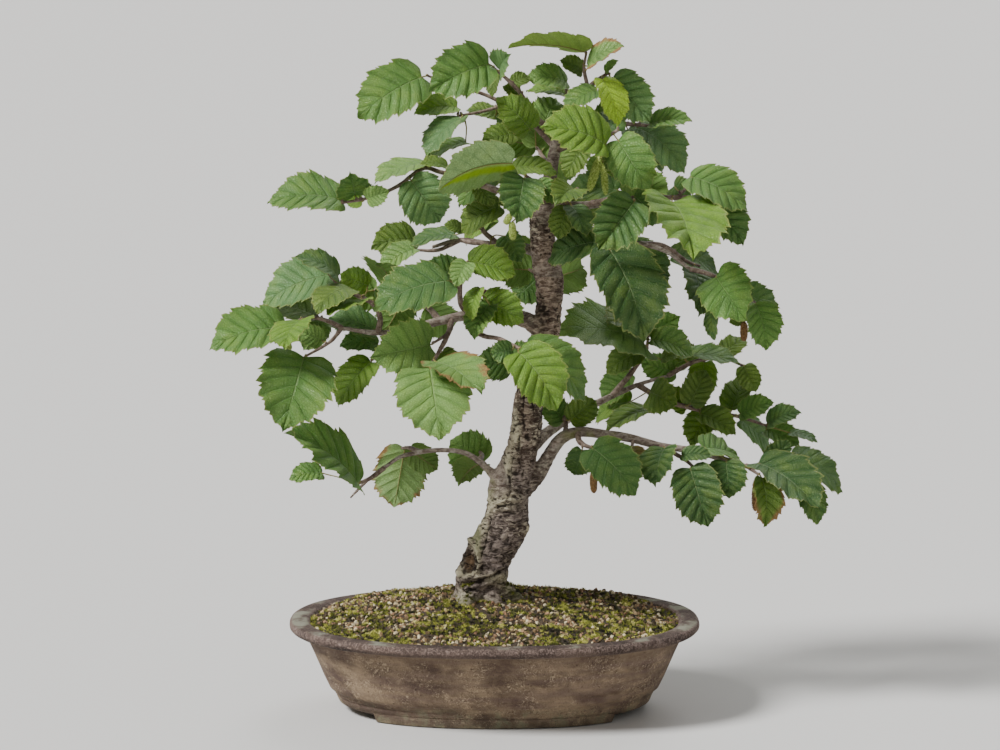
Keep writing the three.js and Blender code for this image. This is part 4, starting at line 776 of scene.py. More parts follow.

# %% [markdown]
# ## The leaves
# A hazel leaf is round, with a heart-shaped base, a short tip and a doubly toothed edge. Its side veins
# lie in grooves with the blade puffed up between them. Each leaf is placed on the drawing, as a
# row of [base column, base row, tip column, tip row, seen width, depth from its stem, colour]. A stem is
# a line of [column, row, depth, radius] and a catkin is [top column, top row, end column, end row,
# radius], with depths and radii in mm. The frame holds a plain solid of each leaf, which may have been
# turned or moved in depth to keep clear of its neighbours, so the fine leaf is laid as that solid is.

# %% The sprays: their stems, leaves and catkins
SPRAYS = {
    "crown_left": {
        "stems": [
            [[558, 134, 0, 2.6], [532, 114, -7, 2.2], [521, 94, -11, 1.9], [510, 82, -13, 1.6],
             [494, 68, -15, 1.1]],
        ],
        "leaves": [
            [489, 64, 429, 90, 52, -4, "green"], [500, 70, 510, 54, 24, 0, "blue"],
            [497, 74, 492, 97, 14, 5, "olive"], [519, 96, 503, 86, 14, 10, "olive"],
            [530, 130, 498, 97, 36, -14, "bright"], [515, 134, 481, 143, 26, 6, "olive"],
            [512, 84, 530, 76, 16, 14, "olive"],
        ],
    },
    "crown_far_left": {
        "stems": [
            [[555, 148, 0, 2.4], [530, 122, 10, 2], [497, 100, 14, 1.7], [466, 88, 12, 1.4],
             [428, 76, 4, 1]],
            [[505, 105, 13, 1.4], [480, 112, 8, 1.2], [458, 116, 2, 1]],
        ],
        "leaves": [
            [422, 77, 357, 116, 54, -4, "green"], [457, 107, 414, 113, 22, 6, "bright"],
            [496, 116, 466, 109, 17, 10, "olive"], [461, 118, 426, 157, 27, -4, "blue"],
            [466, 143, 424, 160, 15, 8, "pale"], [520, 110, 496, 128, 22, 16, "dark"],
        ],
    },
    "apex": {
        "stems": [
            [[571, 110, 1, 2.6], [588, 88, -2, 2.1], [602, 77, -5, 1.6], [608, 73, -6, 1.2]],
            [[588, 88, -2, 1.7], [584, 68, -3, 1.4], [586, 54, -3, 1]],
        ],
        "leaves": [
            [585, 52, 508, 44, 17, 2, "under lit"], [588, 66, 622, 44, 15, -2, "pale dry"],
            [602, 79, 618, 127, 32, -14, "yellow"], [612, 79, 650, 122, 46, 2, "blue"],
            [597, 90, 563, 110, 22, -8, "green"], [606, 72, 618, 60, 9, -4, "pale"],
            [582, 72, 560, 60, 18, 12, "olive"],
        ],
    },
    "apex_left": {
        "stems": [
            [[566, 122, 0, 2.4], [568, 104, 8, 1.9], [567, 90, 12, 1.5], [562, 84, 12, 1.1]],
        ],
        "leaves": [
            [567, 82, 526, 77, 25, 0, "pale"], [565, 94, 526, 90, 15, 8, "bright"],
            [540, 132, 556, 97, 40, -20, "pale"],
        ],
    },
    "crown_front": {
        "stems": [
            [[556, 150, 0, 3], [580, 142, -20, 2.4], [604, 138, -34, 1.9], [618, 130, -40, 1.3]],
        ],
        "leaves": [
            [606, 145, 541, 126, 46, -6, "bright"], [617, 131, 586, 116, 24, 8, "dark"],
            [618, 140, 649, 190, 48, -4, "green"], [607, 148, 612, 178, 20, -8, "bright"],
            [584, 148, 566, 178, 26, 0, "olive"],
        ],
        "catkins": [[600, 157, 589, 191, 3.2], [603, 163, 606, 195, 2.4]],
    },
    "crown_right": {
        "stems": [
            [[557, 140, 0, 3], [590, 128, 4, 2.4], [620, 124, 6, 2], [652, 126, 4, 1.2]],
        ],
        "leaves": [
            [650, 124, 692, 120, 20, 0, "green"], [637, 128, 686, 171, 38, -8, "blue"],
            [628, 130, 664, 172, 30, 14, "blue"], [600, 126, 622, 98, 26, 14, "dark"],
        ],
    },
    "upper_left": {
        "stems": [
            [[498, 191, -12, 2.6], [470, 181, -20, 2.2], [440, 172, -24, 1.9], [424, 168, -26, 1.7],
             [398, 186, -30, 1.5], [368, 198, -34, 1.3], [342, 203, -36, 1]],
        ],
        "leaves": [
            [512, 163, 436, 187, 42, -22, "under folded silver"], [500, 172, 458, 206, 36, 14, "green"],
            [411, 180, 441, 222, 52, -8, "blue"], [424, 163, 374, 181, 20, 8, "pale"],
            [447, 167, 420, 163, 12, 6, "olive"], [355, 195, 350, 172, 38, 6, "dark"],
            [342, 201, 267, 200, 40, -4, "green"], [367, 199, 389, 190, 22, -8, "pale"],
            [362, 202, 346, 199, 16, 12, "bright"], [478, 184, 494, 206, 22, 10, "olive"],
        ],
    },
    "trunk_front": {
        "stems": [
            [[545, 204, -2, 2.4], [538, 186, -24, 2], [526, 176, -34, 1.3]],
        ],
        "leaves": [
            [524, 178, 516, 222, 48, -6, "dark"], [514, 168, 557, 172, 16, 8, "olive"],
            [536, 184, 560, 204, 24, 10, "green"], [530, 190, 498, 206, 22, 18, "olive"],
        ],
        "catkins": [[511, 214, 505, 224, 2.4], [512, 222, 513, 240, 2.6]],
    },
    "back_left": {
        "stems": [
            [[500, 245, 44, 2.4], [482, 228, 44, 1.9], [490, 208, 38, 1.3]],
            [[460, 240, 68, 2], [438, 250, 76, 1.6], [414, 250, 80, 1.1]],
            [[500, 245, 44, 2], [470, 242, 60, 2.2], [460, 240, 68, 2]],
        ],
        "leaves": [
            [500, 206, 460, 232, 32, -8, "olive"], [497, 218, 462, 241, 20, -24, "bright"],
            [462, 230, 444, 224, 14, 6, "olive"], [415, 240, 371, 247, 32, 10, "olive"],
            [415, 249, 380, 271, 24, -6, "pale"], [455, 235, 410, 244, 16, 22, "dark"],
            [505, 236, 522, 262, 30, 16, "dark"], [492, 252, 508, 282, 32, -10, "bright"],
            [484, 222, 470, 200, 26, 22, "dark"],
        ],
    },
    "back_high": {
        "stems": [
            [[572, 214, 66, 2.4], [588, 206, 92, 2], [606, 190, 104, 1.6], [628, 180, 110, 1.1]],
        ],
        "leaves": [
            [628, 180, 668, 196, 42, 4, "under"], [610, 188, 600, 150, 40, 10, "under"],
            [592, 204, 560, 226, 40, 8, "under"], [600, 200, 634, 232, 46, 12, "under"],
            [618, 184, 650, 158, 36, 16, "under"],
        ],
    },
    "right_upper": {
        "stems": [
            [[630, 201, -26, 2.8], [660, 198, -34, 2.2], [690, 198, -36, 1.8], [708, 202, -38, 1.2]],
            [[676, 198, -35, 1.5], [688, 186, -32, 1.2], [692, 177, -30, 1]],
        ],
        "leaves": [
            [690, 177, 748, 208, 40, 4, "green"], [708, 203, 744, 245, 38, 4, "dark"],
            [672, 202, 694, 258, 72, -14, "bright"], [674, 186, 692, 196, 26, 20, "dark"],
        ],
    },
    "right_front": {
        "stems": [
            [[588, 205, -16, 2.6], [606, 200, -34, 2.1], [622, 196, -44, 1.6], [634, 200, -50, 1.1]],
        ],
        "leaves": [
            [634, 202, 598, 250, 52, -4, "dark"], [618, 190, 560, 196, 30, -4, "dark"],
            [634, 196, 664, 222, 36, 14, "dark"],
        ],
    },
    "right_inner": {
        "stems": [
            [[556, 210, -4, 2.6], [568, 200, -16, 2], [578, 188, -24, 1.2]],
        ],
        "leaves": [
            [574, 189, 556, 204, 32, 4, "olive"], [568, 208, 558, 240, 26, -6, "olive"],
            [572, 206, 586, 236, 28, 6, "dark"],
        ],
    },
    "right_low": {
        "stems": [
            [[572, 255, -6, 3], [598, 246, -26, 2.3], [612, 246, -40, 1.4]],
        ],
        "leaves": [
            [609, 249, 646, 341, 68, -6, "deep"], [598, 242, 546, 260, 34, -4, "deep"],
            [600, 240, 640, 232, 30, 12, "deep"],
        ],
    },
    "right_middle": {
        "stems": [
            [[640, 244, -20, 2.6], [664, 246, -8, 2], [688, 262, 0, 1.6], [700, 266, 4, 1]],
        ],
        "leaves": [
            [622, 246, 668, 292, 44, 16, "deep"], [692, 270, 700, 314, 40, 0, "deep"],
            [672, 256, 720, 272, 26, 8, "deep"],
        ],
    },
    "right_end": {
        "stems": [
            [[690, 269, -28, 2.2], [712, 275, -30, 1.7], [738, 290, -32, 1.4], [757, 304, -34, 1]],
        ],
        "leaves": [
            [716, 277, 746, 320, 56, -6, "green"], [755, 303, 767, 350, 36, 0, "green"],
            [715, 305, 713, 340, 14, 20, "deep"], [744, 318, 729, 322, 14, 8, "olive"],
            [742, 292, 780, 318, 30, 10, "dark"],
        ],
        "catkins": [[744, 322, 744, 341, 2.6]],
    },
    "middle_front": {
        "stems": [
            [[484, 315, -12, 3], [474, 328, -34, 2.4], [484, 336, -48, 2], [500, 339, -56, 1.8],
             [514, 346, -62, 1.6], [524, 350, -66, 1.1]],
        ],
        "leaves": [
            [518, 352, 558, 409, 52, -8, "bright"], [528, 347, 588, 402, 42, 8, "green"],
            [512, 350, 490, 354, 24, 2, "dark"],
        ],
    },
    "middle_low": {
        "stems": [
            [[452, 319, -16, 2.6], [448, 334, -38, 2.2], [440, 350, -50, 1.8], [430, 366, -56, 1.2]],
            [[448, 334, -38, 1.6], [432, 344, -44, 1]],
        ],
        "leaves": [
            [430, 345, 371, 357, 60, 0, "pale"], [430, 368, 440, 437, 78, -10, "pale"],
            [442, 352, 461, 373, 24, 14, "olive"], [436, 362, 482, 392, 40, 6, "pale dry"],
        ],
    },
    "middle_high": {
        "stems": [
            [[474, 315, -14, 3], [462, 306, -26, 2.4], [460, 286, -34, 2], [467, 264, -38, 1.2]],
            [[462, 306, -26, 1.8], [478, 298, -34, 1.4], [486, 290, -38, 1]],
        ],
        "leaves": [
            [449, 281, 372, 306, 50, -14, "dark"], [467, 262, 455, 286, 24, 4, "pale"],
            [468, 262, 516, 276, 34, -6, "bright"], [480, 288, 471, 321, 18, -12, "bright"],
            [482, 300, 524, 322, 38, -2, "bright"], [490, 305, 473, 338, 26, 10, "green"],
            [462, 278, 424, 264, 34, 14, "dark"],
        ],
    },
    "left_high": {
        "stems": [
            [[378, 333, -24, 2.6], [380, 318, -26, 2.2], [373, 304, -28, 1.9], [354, 294, -32, 1.6],
             [340, 286, -34, 1.3], [330, 276, -36, 1]],
        ],
        "leaves": [
            [338, 276, 296, 255, 22, 6, "dark"], [330, 275, 262, 302, 42, -2, "blue"],
            [350, 288, 315, 309, 24, -8, "olive"], [360, 300, 330, 313, 22, -2, "bright"],
            [368, 286, 340, 274, 30, 10, "bright"], [378, 300, 404, 286, 26, 14, "green"],
        ],
    },
    "left_end": {
        "stems": [
            [[342, 328, -26, 2.2], [325, 320, -30, 1.7], [306, 318, -34, 1.4], [286, 328, -38, 1]],
            [[342, 328, -26, 1.8], [330, 342, -34, 1.4], [306, 356, -42, 1]],
        ],
        "leaves": [
            [316, 316, 262, 303, 30, 2, "olive"], [284, 329, 209, 347, 48, -4, "green"],
            [301, 320, 283, 347, 26, -10, "bright"], [321, 320, 304, 350, 32, -2, "pale"],
            [304, 357, 283, 430, 78, -8, "green"], [322, 340, 298, 330, 24, 14, "pale"],
        ],
        "catkins": [[291, 345, 280, 358, 2.4]],
    },
    "left_low": {
        "stems": [
            [[404, 330, -22, 2.4], [390, 346, -14, 2], [372, 360, -8, 1.2]],
        ],
        "leaves": [
            [371, 362, 337, 406, 38, 0, "bright"], [378, 345, 340, 344, 20, 10, "blue"],
            [375, 330, 325, 320, 30, 24, "blue"], [394, 344, 418, 372, 30, 16, "dark"],
        ],
    },
    "left_back": {
        "stems": [
            [[440, 321, -18, 2.8], [426, 306, 16, 2.3], [404, 296, 44, 1.8], [376, 290, 66, 1.1]],
        ],
        "leaves": [
            [376, 290, 336, 296, 44, 4, "under"], [392, 292, 376, 262, 40, 10, "under"],
            [404, 300, 384, 334, 42, 8, "under"], [420, 304, 446, 276, 40, 10, "under"],
            [426, 308, 452, 330, 38, 14, "under"],
        ],
    },
    "low_left_end": {
        "stems": [
            [[384, 468, -30, 2.2], [371, 478, -36, 1.8], [356, 484, -42, 1.2]],
        ],
        "leaves": [[358, 484, 288, 430, 42, -4, "green"], [322, 473, 289, 478, 20, 6, "green"]],
    },
    "low_left_middle": {
        "stems": [
            [[420, 452, -23, 2.2], [410, 448, -8, 1.7], [402, 448, 4, 1.1]],
        ],
        "leaves": [
            [405, 448, 394, 508, 56, 6, "under silver dry"], [410, 450, 438, 470, 30, 12, "under pale"],
        ],
    },
    "low_left_inner": {
        "stems": [
            [[478, 461, -12, 2.6], [482, 456, 12, 2.1], [480, 452, 34, 1.3]],
        ],
        "leaves": [[484, 462, 450, 440, 50, 6, "pale"], [480, 464, 458, 484, 28, 2, "under pale"]],
    },
    "low_right_front": {
        "stems": [
            [[578, 432, 0, 2.8], [580, 442, -18, 2.2], [590, 447, -26, 1.6], [600, 446, -28, 1]],
        ],
        "leaves": [[582, 450, 574, 476, 28, 4, "deep"], [592, 448, 637, 494, 50, -6, "dark"]],
        "catkins": [[593, 472, 594, 493, 2.6]],
    },
    "low_right_inner": {
        "stems": [
            [[564, 437, -4, 2.4], [566, 424, 12, 1.8], [564, 416, 18, 1.1]],
        ],
        "leaves": [[563, 422, 545, 394, 30, 2, "dark"], [570, 420, 596, 400, 32, 10, "olive"]],
    },
    "low_right_middle": {
        "stems": [
            [[660, 446, 4, 2.4], [672, 452, -14, 1.9], [688, 462, -22, 1.5], [696, 470, -26, 1]],
            [[634, 439, 6, 1.8], [632, 446, -4, 1.2]],
        ],
        "leaves": [
            [665, 448, 655, 486, 36, 6, "deep"], [690, 468, 708, 527, 52, -6, "deep"],
            [682, 456, 712, 456, 18, -4, "deep"], [632, 448, 646, 471, 18, 0, "brown dry"],
        ],
    },
    "low_right_end": {
        "stems": [
            [[746, 466, -8, 2.2], [762, 468, -14, 1.7], [780, 464, -18, 1.4], [796, 458, -20, 1]],
            [[746, 466, -8, 1.7], [758, 474, -20, 1.1]],
        ],
        "leaves": [
            [758, 463, 820, 507, 40, -10, "deep"], [762, 478, 765, 527, 30, -2, "olive dry"],
            [794, 457, 845, 490, 28, 4, "dark"], [800, 476, 819, 524, 30, 0, "dark"],
            [726, 461, 729, 498, 42, 2, "deep"], [703, 448, 738, 455, 20, -30, "green"],
            [770, 462, 790, 440, 26, 14, "deep"],
        ],
        "catkins": [[757, 478, 755, 511, 3]],
    },
    "back_right_high": {
        "stems": [
            [[612, 396, 84, 2.8], [632, 372, 92, 2.2], [646, 350, 94, 1.7], [648, 338, 92, 1.1]],
        ],
        "leaves": [
            [645, 345, 562, 326, 44, -8, "pale"], [642, 326, 610, 322, 18, 4, "olive"],
            [651, 340, 694, 356, 28, -6, "green"], [640, 352, 606, 372, 26, 0, "olive"],
            [662, 360, 682, 354, 14, 8, "olive"], [632, 374, 600, 402, 34, 4, "green"],
            [650, 336, 680, 316, 32, 10, "green"],
        ],
    },
    "back_right_low": {
        "stems": [
            [[638, 385, 96, 2.8], [664, 400, 104, 2.2], [700, 410, 108, 1.8], [736, 416, 108, 1.5],
             [768, 426, 104, 1.1]],
        ],
        "leaves": [
            [650, 392, 676, 404, 40, -14, "olive"], [690, 404, 706, 370, 34, -4, "olive"],
            [732, 410, 750, 376, 30, 4, "olive"], [740, 414, 774, 402, 26, -6, "green"],
            [768, 424, 801, 412, 22, -6, "blue"], [766, 430, 800, 446, 26, 0, "green"],
            [790, 433, 818, 441, 10, 4, "blue"], [630, 402, 594, 418, 26, 6, "bright"],
            [652, 410, 606, 430, 24, -4, "olive"], [700, 414, 736, 434, 26, -8, "olive"],
            [740, 420, 772, 452, 24, 2, "blue"], [686, 410, 664, 388, 26, 6, "olive"],
            [712, 412, 690, 446, 34, 10, "olive"],
        ],
    },
    "back_right_far": {
        "stems": [
            [[668, 376, 108, 2.2], [694, 362, 112, 1.8], [722, 358, 112, 1.5], [744, 366, 110, 1.1]],
        ],
        "leaves": [
            [684, 356, 740, 362, 20, -4, "green"], [744, 366, 756, 392, 26, 0, "olive"],
            [722, 358, 746, 338, 24, 8, "olive"], [676, 372, 640, 362, 32, 4, "green"],
            [704, 362, 700, 398, 34, 6, "bright"], [690, 364, 672, 338, 32, 12, "olive"],
        ],
    },
    "rear_high": {
        "stems": [
            [[551, 176, 0, 2.8], [547, 164, 34, 2.1], [541, 154, 60, 1.6], [536, 146, 82, 1.1]],
        ],
        "leaves": [
            [536, 146, 506, 140, 36, 2, "under"], [541, 152, 562, 126, 38, 6, "under"],
            [546, 160, 580, 166, 38, 0, "under"], [536, 146, 534, 112, 38, 8, "under"],
        ],
    },
    "rear_middle": {
        "stems": [
            [[549, 300, 4, 4], [556, 290, 40, 3], [548, 280, 74, 2.2], [530, 270, 104, 1.3]],
        ],
        "leaves": [
            [530, 270, 500, 268, 42, 4, "under"], [534, 268, 540, 236, 44, 10, "under"],
            [548, 280, 584, 268, 46, -6, "under"], [540, 276, 514, 300, 40, 14, "dark"],
        ],
    },
    "rear_low": {
        "stems": [
            [[530, 396, 0, 4], [532, 384, 40, 3], [520, 372, 76, 2.2], [510, 366, 100, 1.3]],
        ],
        "leaves": [[510, 366, 476, 360, 38, 4, "dark"], [520, 370, 546, 346, 42, 8, "green"]],
    },
}
print("sprays drawn:", len(SPRAYS))

# %% Where each leaf stands
BLADE_THICKNESS = 0.7 * MM
PETIOLE_WIDTH = 1.4 * MM
WIDTH_SHARE = 0.86
TIP_DROP = 0.4
# A blade's length for the length that is seen, and the share of its lean that takes its tip forward
LENGTH_FOR_SEEN = 1.04
LEAN_SHARE = 0.9
# The frame's solids were turned, moved in depth and drooped by one of these, so each is tried
BREADTHS = [1, 0.8, 0.62]
SHIFTS = [0, -7, 7, -14, 14, -22, 22, -30, 30, -40, 40, -52, 52]
DROOPS = [0, -10, 10, -20, 20, -32, 32]
STEM_STEPS = 5
KEYS_PER_LEAF = 10
FOUND_WITHIN = 0.01 * MM


def chance(key):
    """A repeatable number from 0 to 1 for a whole-number key."""
    mixed = (key * 2654435761 + 97) % 4294967296
    mixed ^= mixed >> 15
    mixed = mixed * 2246822519 % 4294967296
    mixed ^= mixed >> 13
    return mixed % 100000 / 100000


def outside_wood(point):
    """Whether a point stands clear of the trunk and the limbs."""
    for line in coarse_lines:
        for (start, start_radius), (end, end_radius) in zip(line, line[1:]):
            share = min(max((point - start).dot(end - start) / (end - start).length_squared, 0), 1)
            if (start.lerp(end, share) - point).length <= max(start_radius, end_radius) + PETIOLE_WIDTH:
                return False
    return True


def stem_places(stems):
    """Fine steps along a spray's stems: point, column, row and depth."""
    places = []
    for line in stems:
        for index, (point, _) in enumerate(stations(line, STEM_STEPS)):
            span = min(index // STEM_STEPS, len(line) - 2)
            share = index / STEM_STEPS - span
            if outside_wood(point):
                here = [a + (b - a) * share for a, b in zip(line[span], line[span + 1])]
                places.append(SimpleNamespace(point=point, column=here[0], row=here[1], depth=here[2]))
    return places


def nearest_place(places, column, row):
    """The step along a spray's stems that the drawing shows nearest to a column and a row."""
    return min(places, key=lambda place: math.hypot(place.column - column, place.row - row))


def lay_leaf(row, root, key, breadth, shift, droop):
    """A leaf's place and directions in space, for one choice of breadth, depth and droop."""
    base_column, base_row, tip_column, tip_row, seen_width, depth_step, colour = row
    depth = root.depth + depth_step + shift
    base = drawn(base_column, base_row, depth)
    seen_length = (drawn(tip_column, tip_row, depth) - base).length
    width = seen_width * GRID_STEP
    true_length = max(seen_length * LENGTH_FOR_SEEN, width / WIDTH_SHARE)
    lean = math.sqrt(true_length**2 - seen_length**2) / MM
    tip = drawn(tip_column, tip_row, depth - lean * LEAN_SHARE + droop)
    length = (tip - base).length
    along = (tip - base) / length
    sight = (EYE - base).normalized()
    front = (sight - along * sight.dot(along)).normalized()
    side = along.cross(front)
    true_width = max(width, length * WIDTH_SHARE * breadth * (0.9 + 0.1 * chance(key)))
    turn = math.acos(min(1, width / true_width))
    toward = -1 if colour.startswith("under") else 1
    upward = 1 if side.z >= 0 else -1
    normal = (front * (toward * math.cos(turn)) + side * (upward * math.sin(turn))).normalized()
    arch = (0.1 + 0.08 * chance(key + 1)) * length
    return SimpleNamespace(
        base=base, tip=tip - normal * (TIP_DROP * arch), along=along, normal=normal,
        across=along.cross(normal), length=length, width=true_width, arch=arch, key=key, colour=colour,
        root=root.point, seen_share=math.cos(turn),
    )


def laid_leaf(row, root, key, corners):
    """The leaf as the frame's solid has it: the choice whose tip is a corner of that solid."""
    for breadth in BREADTHS:
        for shift in SHIFTS:
            for droop in DROOPS:
                lay = lay_leaf(row, root, key, breadth, shift, droop)
                rise = lay.normal * (BLADE_THICKNESS / 2)
                miss = max(corners.find(lay.tip + rise)[2], corners.find(lay.tip - rise)[2])
                if miss < FOUND_WITHIN:
                    return lay, True
    return lay_leaf(row, root, key, BREADTHS[0], SHIFTS[0], DROOPS[0]), False


coarse_lines = [stations(TRUNK_LINE, 1)] + [stations(line, 1) for line in LIMB_LINES]
laid_sprays = []
leaf_key = 0
strays = 0
for name, spray in SPRAYS.items():
    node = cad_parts["spray_" + name]
    corners = kdtree.KDTree(len(node.data.vertices))
    for vertex in node.data.vertices:
        corners.insert(vertex.co, vertex.index)
    corners.balance()
    places = stem_places(spray["stems"])
    leaves = []
    for row in spray["leaves"]:
        leaf_key += KEYS_PER_LEAF
        lay, found = laid_leaf(row, nearest_place(places, row[0], row[1]), leaf_key, corners)
        strays += not found
        leaves.append(lay)
    laid_sprays.append(("spray_" + name, spray, places, leaves))
print("leaves:", leaf_key // KEYS_PER_LEAF, "of which not found in the frame:", strays)

# %% [markdown]
# A blade is meshed along its own side veins. Each half is a fan of lines that leave the midrib and run
# forward to the edge, so a groove can follow a vein exactly, and a tooth stands where each vein ends.
# The form between base and tip, with its arch and fold, is the same sum as in the frame's solid.

# %% One blade
# Where the side veins leave the midrib and where they meet the edge, as shares of the blade's length
VEIN_STARTS = [0, 0.05, 0.18, 0.32, 0.46, 0.6, 0.76, 1]
VEIN_ENDS = [-0.07, 0.2, 0.4, 0.57, 0.715, 0.835, 0.93, 1]
VEIN_COUNT = len(VEIN_STARTS) - 1
OUTLINE_SHARES = [-0.07, -0.05, 0, 0.08, 0.2, 0.34, 0.46, 0.57, 0.68, 0.76, 0.82, 0.87, 0.91, 0.95, 1]
OUTLINE_WIDTHS = [0.42, 0.58, 0.74, 0.86, 0.94, 0.99, 1, 0.97, 0.88, 0.74, 0.6, 0.45, 0.3, 0.15, 0]
# From one vein's end to the next: the place of each tooth or notch, how far it stands out, and how
# far it points forward
TEETH = [
    (0, 0.085, 0.03), (0.12, -0.05, 0.004), (0.34, 0.025, 0.014), (0.44, -0.04, 0), (0.68, 0.015, 0.01),
    (0.84, 0.035, 0.016),
]
TOOTH_ROOM = 0.93
SHEET_THICKNESS = 0.34 * MM


def blade_middle(lay, share, half, lift):
    """The blade's middle surface at shares of its length and its half-width, with a lift in metres."""
    flat = 0.35 + 0.65 * lay.seen_share
    fold = (0.16 + 0.14 * chance(lay.key + 2)) * lay.width * 0.5
    wave = np.sin(share * 9 + half * 2.4 + lay.key) * 0.02 * lay.width
    rise = lay.arch * 4 * share * (1 - share) + fold * np.abs(half) ** 1.4 + wave * np.abs(half)
    rise = (rise + lift) * flat - TIP_DROP * lay.arch * share
    return (
        np.array(lay.base)
        + np.outer(share * lay.length, np.array(lay.along))
        + np.outer(half * lay.width * 0.5, np.array(lay.across))
        + np.outer(rise, np.array(lay.normal))
    )


def blade_mesh(lay, columns):
    """Points, faces and the leaf numbers of one thin closed blade."""
    steps = len(TEETH)
    lines = VEIN_COUNT * steps
    tooth = np.array([TEETH[line % steps] for line in range(lines)])
    vein = np.arange(lines) // steps + tooth[:, 0]
    start = np.interp(vein, range(VEIN_COUNT + 1), VEIN_STARTS)
    end = np.interp(vein, range(VEIN_COUNT + 1), VEIN_ENDS)
    uneven_teeth = np.array([0.6 + 0.8 * chance(lay.key * 7 + line * 13 + 5) for line in range(lines)])
    out = np.linspace(-1, 1, 2 * columns + 1)
    out = np.sign(out) * np.abs(out) ** 0.85
    from_rib = np.abs(out)
    jag = from_rib**7
    fade = np.minimum(1, 3.2 * (1 - vein / VEIN_COUNT))
    share = start[:, None] + (end - start)[:, None] * from_rib**1.12
    share += (tooth[:, 2] * fade * uneven_teeth)[:, None] * jag
    width = np.interp(end, OUTLINE_SHARES, OUTLINE_WIDTHS) * TOOTH_ROOM
    half = out * (width[:, None] + (tooth[:, 1] * fade * uneven_teeth)[:, None] * jag)
    puff = np.abs(np.sin(np.pi * vein))[:, None] ** 0.6
    puff = puff * np.minimum(1, from_rib * 4) * (1 - 0.4 * from_rib**3)
    depth = 0.034 * lay.length * (0.2 + chance(lay.key + 4))
    ruffle = np.sin(vein[:, None] * 3.1 + np.sign(out) * 1.3 + lay.key) * from_rib**2.5
    ruffle *= 0.03 * lay.width * (0.4 + chance(lay.key + 5))
    crumple = np.sin(vein[:, None] * 1.3 + out * 3.7 + lay.key * 3) * from_rib * 0.022 * lay.width
    crease = np.where(out > 0, chance(lay.key + 7), chance(lay.key + 8)) - 0.42
    lift = depth * puff + ruffle + crumple + crease * from_rib * 0.17 * lay.width
    across = 2 * columns + 1
    numbers = [
        np.append((share * 0 + vein[:, None]).ravel(), VEIN_COUNT),
        np.append((share * 0 + from_rib).ravel(), 0),
    ]
    share = np.append(share.ravel(), 1)
    half = np.append(half.ravel(), 0)
    middle = blade_middle(lay, share, half, np.append(lift.ravel(), 0))
    rise = np.array(lay.normal) * (SHEET_THICKNESS / 2)
    count = len(middle)
    tip = count - 1
    faces = []
    for line in range(lines - 1):
        for place in range(across - 1):
            a = line * across + place
            faces.append((a, a + 1, a + across + 1, a + across))
    last = (lines - 1) * across
    faces += [(last + place, last + place + 1, tip) for place in range(across - 1)]
    under = [tuple(count + corner for corner in reversed(face)) for face in faces]
    rim = list(range(across)) + [line * across + across - 1 for line in range(1, lines)] + [tip]
    rim += [line * across for line in range(lines - 1, 0, -1)]
    edge = [(b, a, a + count, b + count) for a, b in zip(rim, rim[1:] + rim[:1])]
    points = np.concatenate([middle + rise, middle - rise])
    numbers = [np.tile(values, 2) for values in numbers]
    numbers.append(np.repeat([0.0, 1.0], count))
    numbers.append(np.tile(half, 2))
    return points, faces + under, edge, numbers


print("lines from a blade's midrib to its edge:", VEIN_COUNT * len(TEETH), "on each side")

# %% [markdown]
# A leaf's green comes from its age and from how the light strikes its waxy skin. The finish starts from
# the leaf's own tint and reads the numbers that were stored with the blade: which vein a place lies
# near, how far it is from the midrib, and whether it is on the under side, which is paler and matt. A
# little light passes through a blade, so a part of the surface is translucent.

# %% The leaf finish
# The colour words of a leaf's row. Of the other words "under" shows the under side, "dry" browns the
# margin and "folded" colours a strip of the blade as if a part were turned over, without bending it.
# A row's colour word was chosen for how light or dark the leaf looks, so it is partly the leaf's own green
# and partly painted light and painted shade; "yellow" and "lit" are raised most, as painted light on
# blades that face away from the lights
LEAF_COLOURS = {
    "green": srgb(98, 142, 60), "dark": srgb(72, 112, 50), "deep": srgb(54, 90, 40),
    "blue": srgb(104, 146, 86), "pale": srgb(128, 168, 84), "bright": srgb(116, 156, 44),
    "olive": srgb(98, 126, 38), "yellow": srgb(206, 252, 60), "silver": srgb(176, 212, 140),
    "lit": srgb(216, 244, 122), "brown": srgb(138, 100, 56),
}


